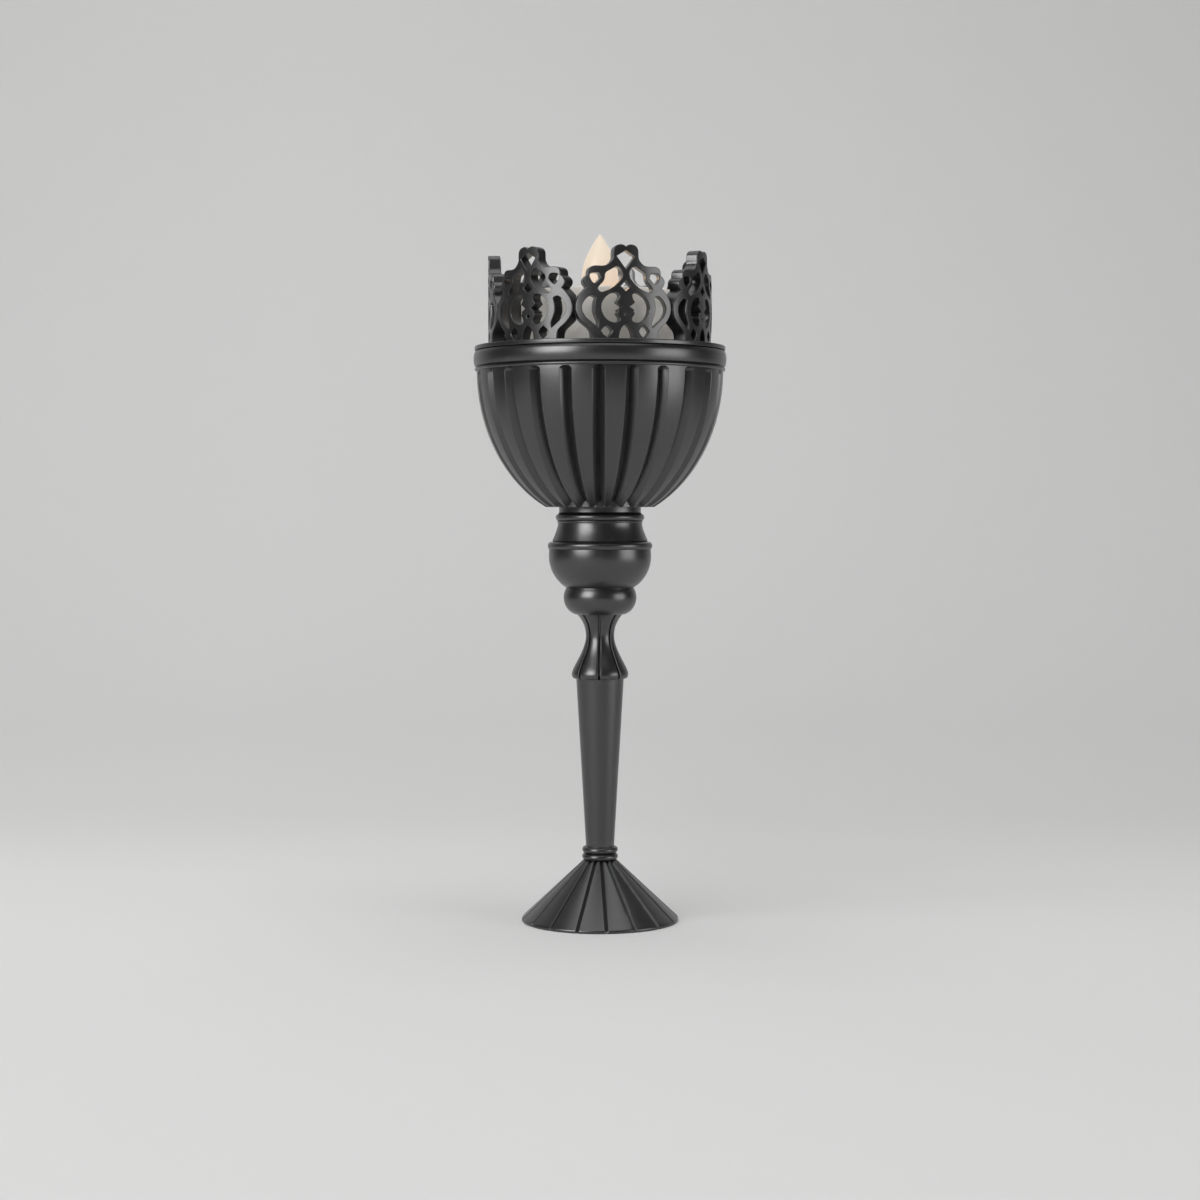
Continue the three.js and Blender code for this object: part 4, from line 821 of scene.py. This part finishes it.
def ranged(tree, source, low, high, start=0.3, end=0.7):
    made = node(tree, "ShaderNodeMapRange")
    made.inputs["From Min"].default_value = start
    made.inputs["From Max"].default_value = end
    made.inputs["To Min"].default_value = low
    made.inputs["To Max"].default_value = high
    tree.links.new(source, made.inputs["Value"])
    return made.outputs["Result"]


def tinted(tree, source, dark, light, start=0.3, end=0.7):
    ramp = tree.nodes.new("ShaderNodeValToRGB")
    ramp.color_ramp.elements[0].position = start
    ramp.color_ramp.elements[0].color = (*dark, 1)
    ramp.color_ramp.elements[1].position = end
    ramp.color_ramp.elements[1].color = (*light, 1)
    tree.links.new(source, ramp.inputs["Fac"])
    return ramp.outputs["Color"]


def bumped(tree, shader, source, strength, distance):
    made = node(tree, "ShaderNodeBump", Strength=strength, Distance=distance)
    tree.links.new(source, made.inputs["Height"])
    tree.links.new(made.outputs["Normal"], shader.inputs["Normal"])


WEAR_EDGE = (0.52, 0.6)
WEAR_SPECK = (0.42, 0.62)


def colour_mix(tree, factor):
    """Colour mix steered by a factor: its two colour sockets and its result."""
    mix = tree.nodes.new("ShaderNodeMix")
    mix.data_type = "RGBA"
    sockets = {socket.name: socket for socket in mix.inputs if socket.enabled}
    tree.links.new(factor, sockets["Factor"])
    result = [out for out in mix.outputs if out.type == "RGBA"][0]
    return sockets["A"], sockets["B"], result


def grained(name, dark, light, roughness, metallic=0.0, grain=900.0, fine=5000.0, bump=0.03, depth=0.00002,
            wear=None):
    """Finish with drifting colour, uneven sheen and a fine tooth, and paler edges where wear is given."""
    material, tree, shader = new_material(name)
    place = tree.nodes.new("ShaderNodeTexCoord")
    colour = tinted(tree, noise_factor(tree, place, grain / 12, 4), dark, light)
    if wear is not None:
        geometry = tree.nodes.new("ShaderNodeNewGeometry")
        edge = ranged(tree, geometry.outputs["Pointiness"], 0.0, 1.0, *WEAR_EDGE)
        speck = ranged(tree, noise_factor(tree, place, grain, 6), 0.0, 1.0, *WEAR_SPECK)
        both = node(tree, "ShaderNodeMath")
        both.operation = "MULTIPLY"
        tree.links.new(edge, both.inputs[0])
        tree.links.new(speck, both.inputs[1])
        plain, worn, result = colour_mix(tree, both.outputs[0])
        tree.links.new(colour, plain)
        worn.default_value = (*wear, 1)
        colour = result
    tree.links.new(colour, shader.inputs["Base Color"])
    tree.links.new(ranged(tree, noise_factor(tree, place, grain, 5), *roughness), shader.inputs["Roughness"])
    shader.inputs["Metallic"].default_value = metallic
    bumped(tree, shader, noise_factor(tree, place, fine, 3), bump, depth)
    return material


satin = grained("satin_black", (0.011, 0.011, 0.012), (0.014, 0.014, 0.015), (0.28, 0.32), bump=0.015,
                wear=(0.03, 0.03, 0.032))
satin.node_tree.nodes["Principled BSDF"].inputs["Specular IOR Level"].default_value = 1.0
wax = grained("candle_ivory_painted_glow", (0.84, 0.81, 0.75), (0.9, 0.87, 0.81), (0.45, 0.6), grain=300, fine=2500,
              bump=0.1)
flame = grained("flame_frosted", (0.2, 0.165, 0.13), (0.24, 0.2, 0.16), (0.4, 0.5), grain=400, fine=3000,
                bump=0.06)
felt = grained("felt_black", (0.012, 0.012, 0.013), (0.03, 0.03, 0.032), (0.9, 1.0), grain=2500, fine=9000,
               bump=0.6, depth=0.0002)
zinc = grained("zinc_steel", (0.52, 0.53, 0.54), (0.62, 0.63, 0.64), (0.28, 0.42), metallic=1.0, grain=1500)
cell_metal = grained("cell_steel", (0.6, 0.6, 0.6), (0.68, 0.68, 0.68), (0.2, 0.32), metallic=1.0, grain=1200)
board = grained("board_green", (0.02, 0.11, 0.045), (0.03, 0.14, 0.06), (0.35, 0.5), grain=1800)
moulded = grained("moulded_black", (0.012, 0.012, 0.013), (0.018, 0.018, 0.02), (0.4, 0.55), grain=2500,
                  bump=0.15)
lens = grained("lens_warm", (0.9, 0.72, 0.42), (0.95, 0.78, 0.5), (0.1, 0.16), grain=800)
ivory = grained("moulded_ivory", (0.58, 0.54, 0.48), (0.64, 0.6, 0.54), (0.42, 0.55), grain=900, fine=4000,
                bump=0.1)

wax_shader_painted_glow = wax.node_tree.nodes["Principled BSDF"]
wax_shader_painted_glow.inputs["Subsurface Weight"].default_value = 0.4
wax_shader_painted_glow.inputs["Subsurface Radius"].default_value = (0.0035, 0.003, 0.0026)
wax_shader_painted_glow.inputs["Subsurface Scale"].default_value = 1.0
# The shell gets a painted glow: a faint even emission that stands in for light reaching the shell inside the
# crown, though the shell is no lamp
wax_shader_painted_glow.inputs["Emission Color"].default_value = (1.0, 0.95, 0.88, 1)
wax_shader_painted_glow.inputs["Emission Strength"].default_value = 0.08
flame_shader = flame.node_tree.nodes["Principled BSDF"]
flame_place = flame.node_tree.nodes.new("ShaderNodeTexCoord")
flame_axes = flame.node_tree.nodes.new("ShaderNodeSeparateXYZ")
flame.node_tree.links.new(flame_place.outputs["Object"], flame_axes.inputs["Vector"])
flame_up = ranged(flame.node_tree, flame_axes.outputs["Z"], 0.0, 1.0, *FLAME_TINT_SPAN)
flame.node_tree.links.new(tinted(flame.node_tree, flame_up, FLAME_LOW, FLAME_HIGH, 0.0, 1.0),
                          flame_shader.inputs["Emission Color"])
flame_shader.inputs["Emission Strength"].default_value = 0.64


# Pieces on their bodies

def place(obj, body, slot, material, *nodes):
    obj.data.materials.append(material)
    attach(obj, body)
    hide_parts(*nodes)


place(make_foot(), "holder", "satin_black", satin, "foot")
place(make_pad(), "holder", "felt", felt, "foot_pad")
place(make_bead_ring("lower_bead_turned", BEAD_RADIUS, BEAD_BULGE, BEAD_HEIGHT, LOWER_BEAD_SEAT), "holder",
      "satin_black", satin, "lower_bead_ring")
place(make_bead_ring("upper_bead_turned", BEAD_RADIUS, BEAD_BULGE, BEAD_HEIGHT, UPPER_BEAD_SEAT), "holder",
      "satin_black", satin, "upper_bead_ring")
stem_rows = bezier([(STEM_RADII[0], 0), (STEM_RADII[1], STEM_LENGTH)], 24)
place(turned("stem_turned", bored(stem_rows), STEM_SEAT, 96), "holder", "satin_black", satin, "stem")
place(make_skirt(), "holder", "satin_black", satin, "stem_skirt")
place(make_knop("lower_knop_turned", LOWER_KNOP, LOWER_KNOP_HEIGHTS, LOWER_KNOP_SEAT), "holder",
      "satin_black", satin, "lower_knop")
upper_knop_heights = (UPPER_KNOP_HEIGHTS[0], UPPER_KNOP_HEIGHTS[1] - KNOP_RING_DROP)
place(make_knop("upper_knop_turned", UPPER_KNOP, upper_knop_heights, UPPER_KNOP_SEAT), "holder",
      "satin_black", satin, "upper_knop")
place(make_knop_ring(), "holder", "satin_black", satin, "knop_ring")
place(make_neck(), "holder", "satin_black", satin, "neck")
place(make_bowl(), "holder", "satin_black", satin, "bowl")
place(make_rim(), "holder", "satin_black", satin, "rim_band")
for number, panel in enumerate(make_panels(), 1):
    place(panel, "holder", "satin_black", satin, f"crown_panel_{number}")
place(make_pan(), "pan", "satin_black", satin, "candle_pan")
place(make_shell(), "tea_light", "ivory_plastic", wax, "candle_shell")
flame_piece = make_flame()
place(flame_piece, "tea_light", "flame_plastic", flame, "flame_tip")

# Solids that stay as they are and take a finish
kept = {
    "tie_rod": zinc, "rod_bottom_washer": zinc, "rod_bottom_nut": zinc, "rod_top_washer": zinc,
    "rod_top_nut": zinc, "led": lens, "circuit_board": board, "contact_leaf": zinc, "contact_clip": zinc,
    "coin_cell": cell_metal, "base_plate": ivory, "battery_cover": ivory, "switch_housing": moulded,
    "switch_slider": moulded,
}
for name, material in kept.items():
    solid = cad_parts[name]
    solid.data.materials.clear()
    solid.data.materials.append(material)

# Stage: a pale floor that curves up into the backdrop, with light and shade painted into its greys: the floor
# is painted lighter towards the left, and the backdrop is painted darker than the floor and darker towards
# both sides
FLOOR_FRONT = -2.0
FLOOR_BACK = 0.16
SWEEP_RADIUS = 0.3
SWEEP_STEPS = 24
STAGE_HALF_WIDTH = 1.0
STAGE_TOP = 2.2
# Greys across the stage as (share across, grey): painted light on the floor, lighter towards the left;
# painted shade on the backdrop towards its sides
FLOOR_PAINTED_LIGHT_GREYS = ((0.4, 0.835), (0.5, 0.81), (0.6, 0.76))
WALL_PAINTED_SHADE_GREYS = ((0.0, 0.28), (0.3, 0.645), (0.42, 0.675), (0.56, 0.65), (0.66, 0.615), (1.0, 0.27))
STAGE_REACH = 0.8
WALL_START, WALL_FULL = 0.06, 0.26
sweep = [(FLOOR_FRONT, 0.0), (FLOOR_BACK, 0.0)]
for step in range(1, SWEEP_STEPS + 1):
    angle = math.pi / 2 * step / SWEEP_STEPS
    sweep.append((FLOOR_BACK + SWEEP_RADIUS * math.sin(angle), SWEEP_RADIUS * (1 - math.cos(angle))))
sweep.append((FLOOR_BACK + SWEEP_RADIUS, STAGE_TOP))
stage_mesh = bpy.data.meshes.new("stage")
stage_verts = [(side * STAGE_HALF_WIDTH, y, z) for y, z in sweep for side in (-1, 1)]
stage_faces = [(2 * i, 2 * i + 1, 2 * i + 3, 2 * i + 2) for i in range(len(sweep) - 1)]
stage_mesh.from_pydata(stage_verts, [], stage_faces)
stage_mesh.polygons.foreach_set("use_smooth", [True] * len(stage_faces))
stage_object = new_object("stage", stage_mesh)
stage_material, stage_tree, stage_shader = new_material("stage_pale_painted_light")
stage_place = stage_tree.nodes.new("ShaderNodeTexCoord")
stage_axes = stage_tree.nodes.new("ShaderNodeSeparateXYZ")
stage_tree.links.new(stage_place.outputs["Object"], stage_axes.inputs["Vector"])
stage_across = ranged(stage_tree, stage_axes.outputs["X"], 0.0, 1.0, -STAGE_REACH, STAGE_REACH)


# Ramp of painted light and shade across the stage, from left to right
def painted_light_greys(stops):
    ramp = stage_tree.nodes.new("ShaderNodeValToRGB")
    for _ in stops[2:]:
        ramp.color_ramp.elements.new(0.5)
    for element, (share, grey) in zip(ramp.color_ramp.elements, stops):
        element.position = share
        element.color = (grey, grey, grey * 0.995, 1)
    stage_tree.links.new(stage_across, ramp.inputs["Fac"])
    return ramp.outputs["Color"]


# The backdrop takes greys darker than the floor's, as painted shade
wall_share = ranged(stage_tree, stage_axes.outputs["Y"], 0.0, 1.0, WALL_START, WALL_FULL)
floor_painted_colour, wall_painted_colour, stage_painted_colour = colour_mix(stage_tree, wall_share)
stage_tree.links.new(painted_light_greys(FLOOR_PAINTED_LIGHT_GREYS), floor_painted_colour)
stage_tree.links.new(painted_light_greys(WALL_PAINTED_SHADE_GREYS), wall_painted_colour)
stage_tree.links.new(stage_painted_colour, stage_shader.inputs["Base Color"])
stage_shader.inputs["Roughness"].default_value = 0.9
stage_shader.inputs["Specular IOR Level"].default_value = 0.1
stage_mesh.materials.append(stage_material)

# Lights: a key at the front left that only gloss shows, a wide wash there that only matt surfaces show,
# a low fill at the right, a soft top light, a small glow in the flame, and a plain grey surround
LAMP_AIM_HEIGHT = 0.085
GLOW_HEIGHT = 0.1425
GLOW_SIZE = 0.0032
GLOW_WATTS = 0.0011
GLOW_COLOUR = (1.0, 0.6, 0.28)
SURROUND_GREY = 0.05


def area_light(name, azimuth, elevation, distance, width, height, watts):
    lamp = bpy.data.lights.new(name, "AREA")
    lamp.shape = "RECTANGLE"
    lamp.size = width
    lamp.size_y = height
    lamp.energy = watts
    obj = new_object(name, lamp)
    a, e = math.radians(azimuth), math.radians(elevation)
    obj.location = (distance * math.cos(e) * math.sin(a), -distance * math.cos(e) * math.cos(a),
                    LAMP_AIM_HEIGHT + distance * math.sin(e))
    obj.rotation_euler = (math.pi / 2 - e, 0.0, a)
    return obj


key = area_light("key_left", azimuth=-41.5, elevation=21.4, distance=1.0, width=0.555, height=0.615,
                 watts=7.98)
key.visible_diffuse = False
wash = area_light("wash", azimuth=-42, elevation=30, distance=1.3, width=1.5, height=1.5, watts=12.0)
wash.visible_glossy = False
area_light("fill_right", azimuth=64.8, elevation=6.8, distance=0.7, width=0.42, height=0.325, watts=1.4)
area_light("top", azimuth=0, elevation=84, distance=1.1, width=1.1, height=1.1, watts=5.9)
glow = bpy.data.lights.new("flame_glow", "POINT")
glow.shadow_soft_size = GLOW_SIZE
glow.energy = GLOW_WATTS
glow.color = GLOW_COLOUR
glow_object = new_object("flame_glow", glow)
glow_object.location = (0.0, 0.0, GLOW_HEIGHT)
glow_object.parent = flame_piece
glow_object.visible_camera = False
flame_piece.visible_glossy = False
flame_piece.visible_shadow = False

world = bpy.data.worlds.new("surround")
world.use_nodes = True
surround = world.node_tree.nodes["Background"]
surround.inputs["Color"].default_value = (SURROUND_GREY, SURROUND_GREY, SURROUND_GREY, 1)
surround.inputs["Strength"].default_value = 1.0
bpy.context.scene.world = world
bpy.context.scene.view_settings.view_transform = "Standard"

# Camera of the photograph
CAMERA_PLACE = (0.0, -0.5, 0.091205)
CAMERA_PITCH_DOWN = 2.371
CAMERA_LENS = 68.54
CAMERA_SENSOR = 36.0
camera_data = bpy.data.cameras.new("camera")
camera_data.sensor_width = CAMERA_SENSOR
camera_data.lens = CAMERA_LENS
camera_data.clip_start = 0.01
camera = new_object("camera", camera_data)
camera.location = CAMERA_PLACE
camera.rotation_euler = (math.radians(90 - CAMERA_PITCH_DOWN), 0.0, 0.0)
bpy.context.scene.camera = camera
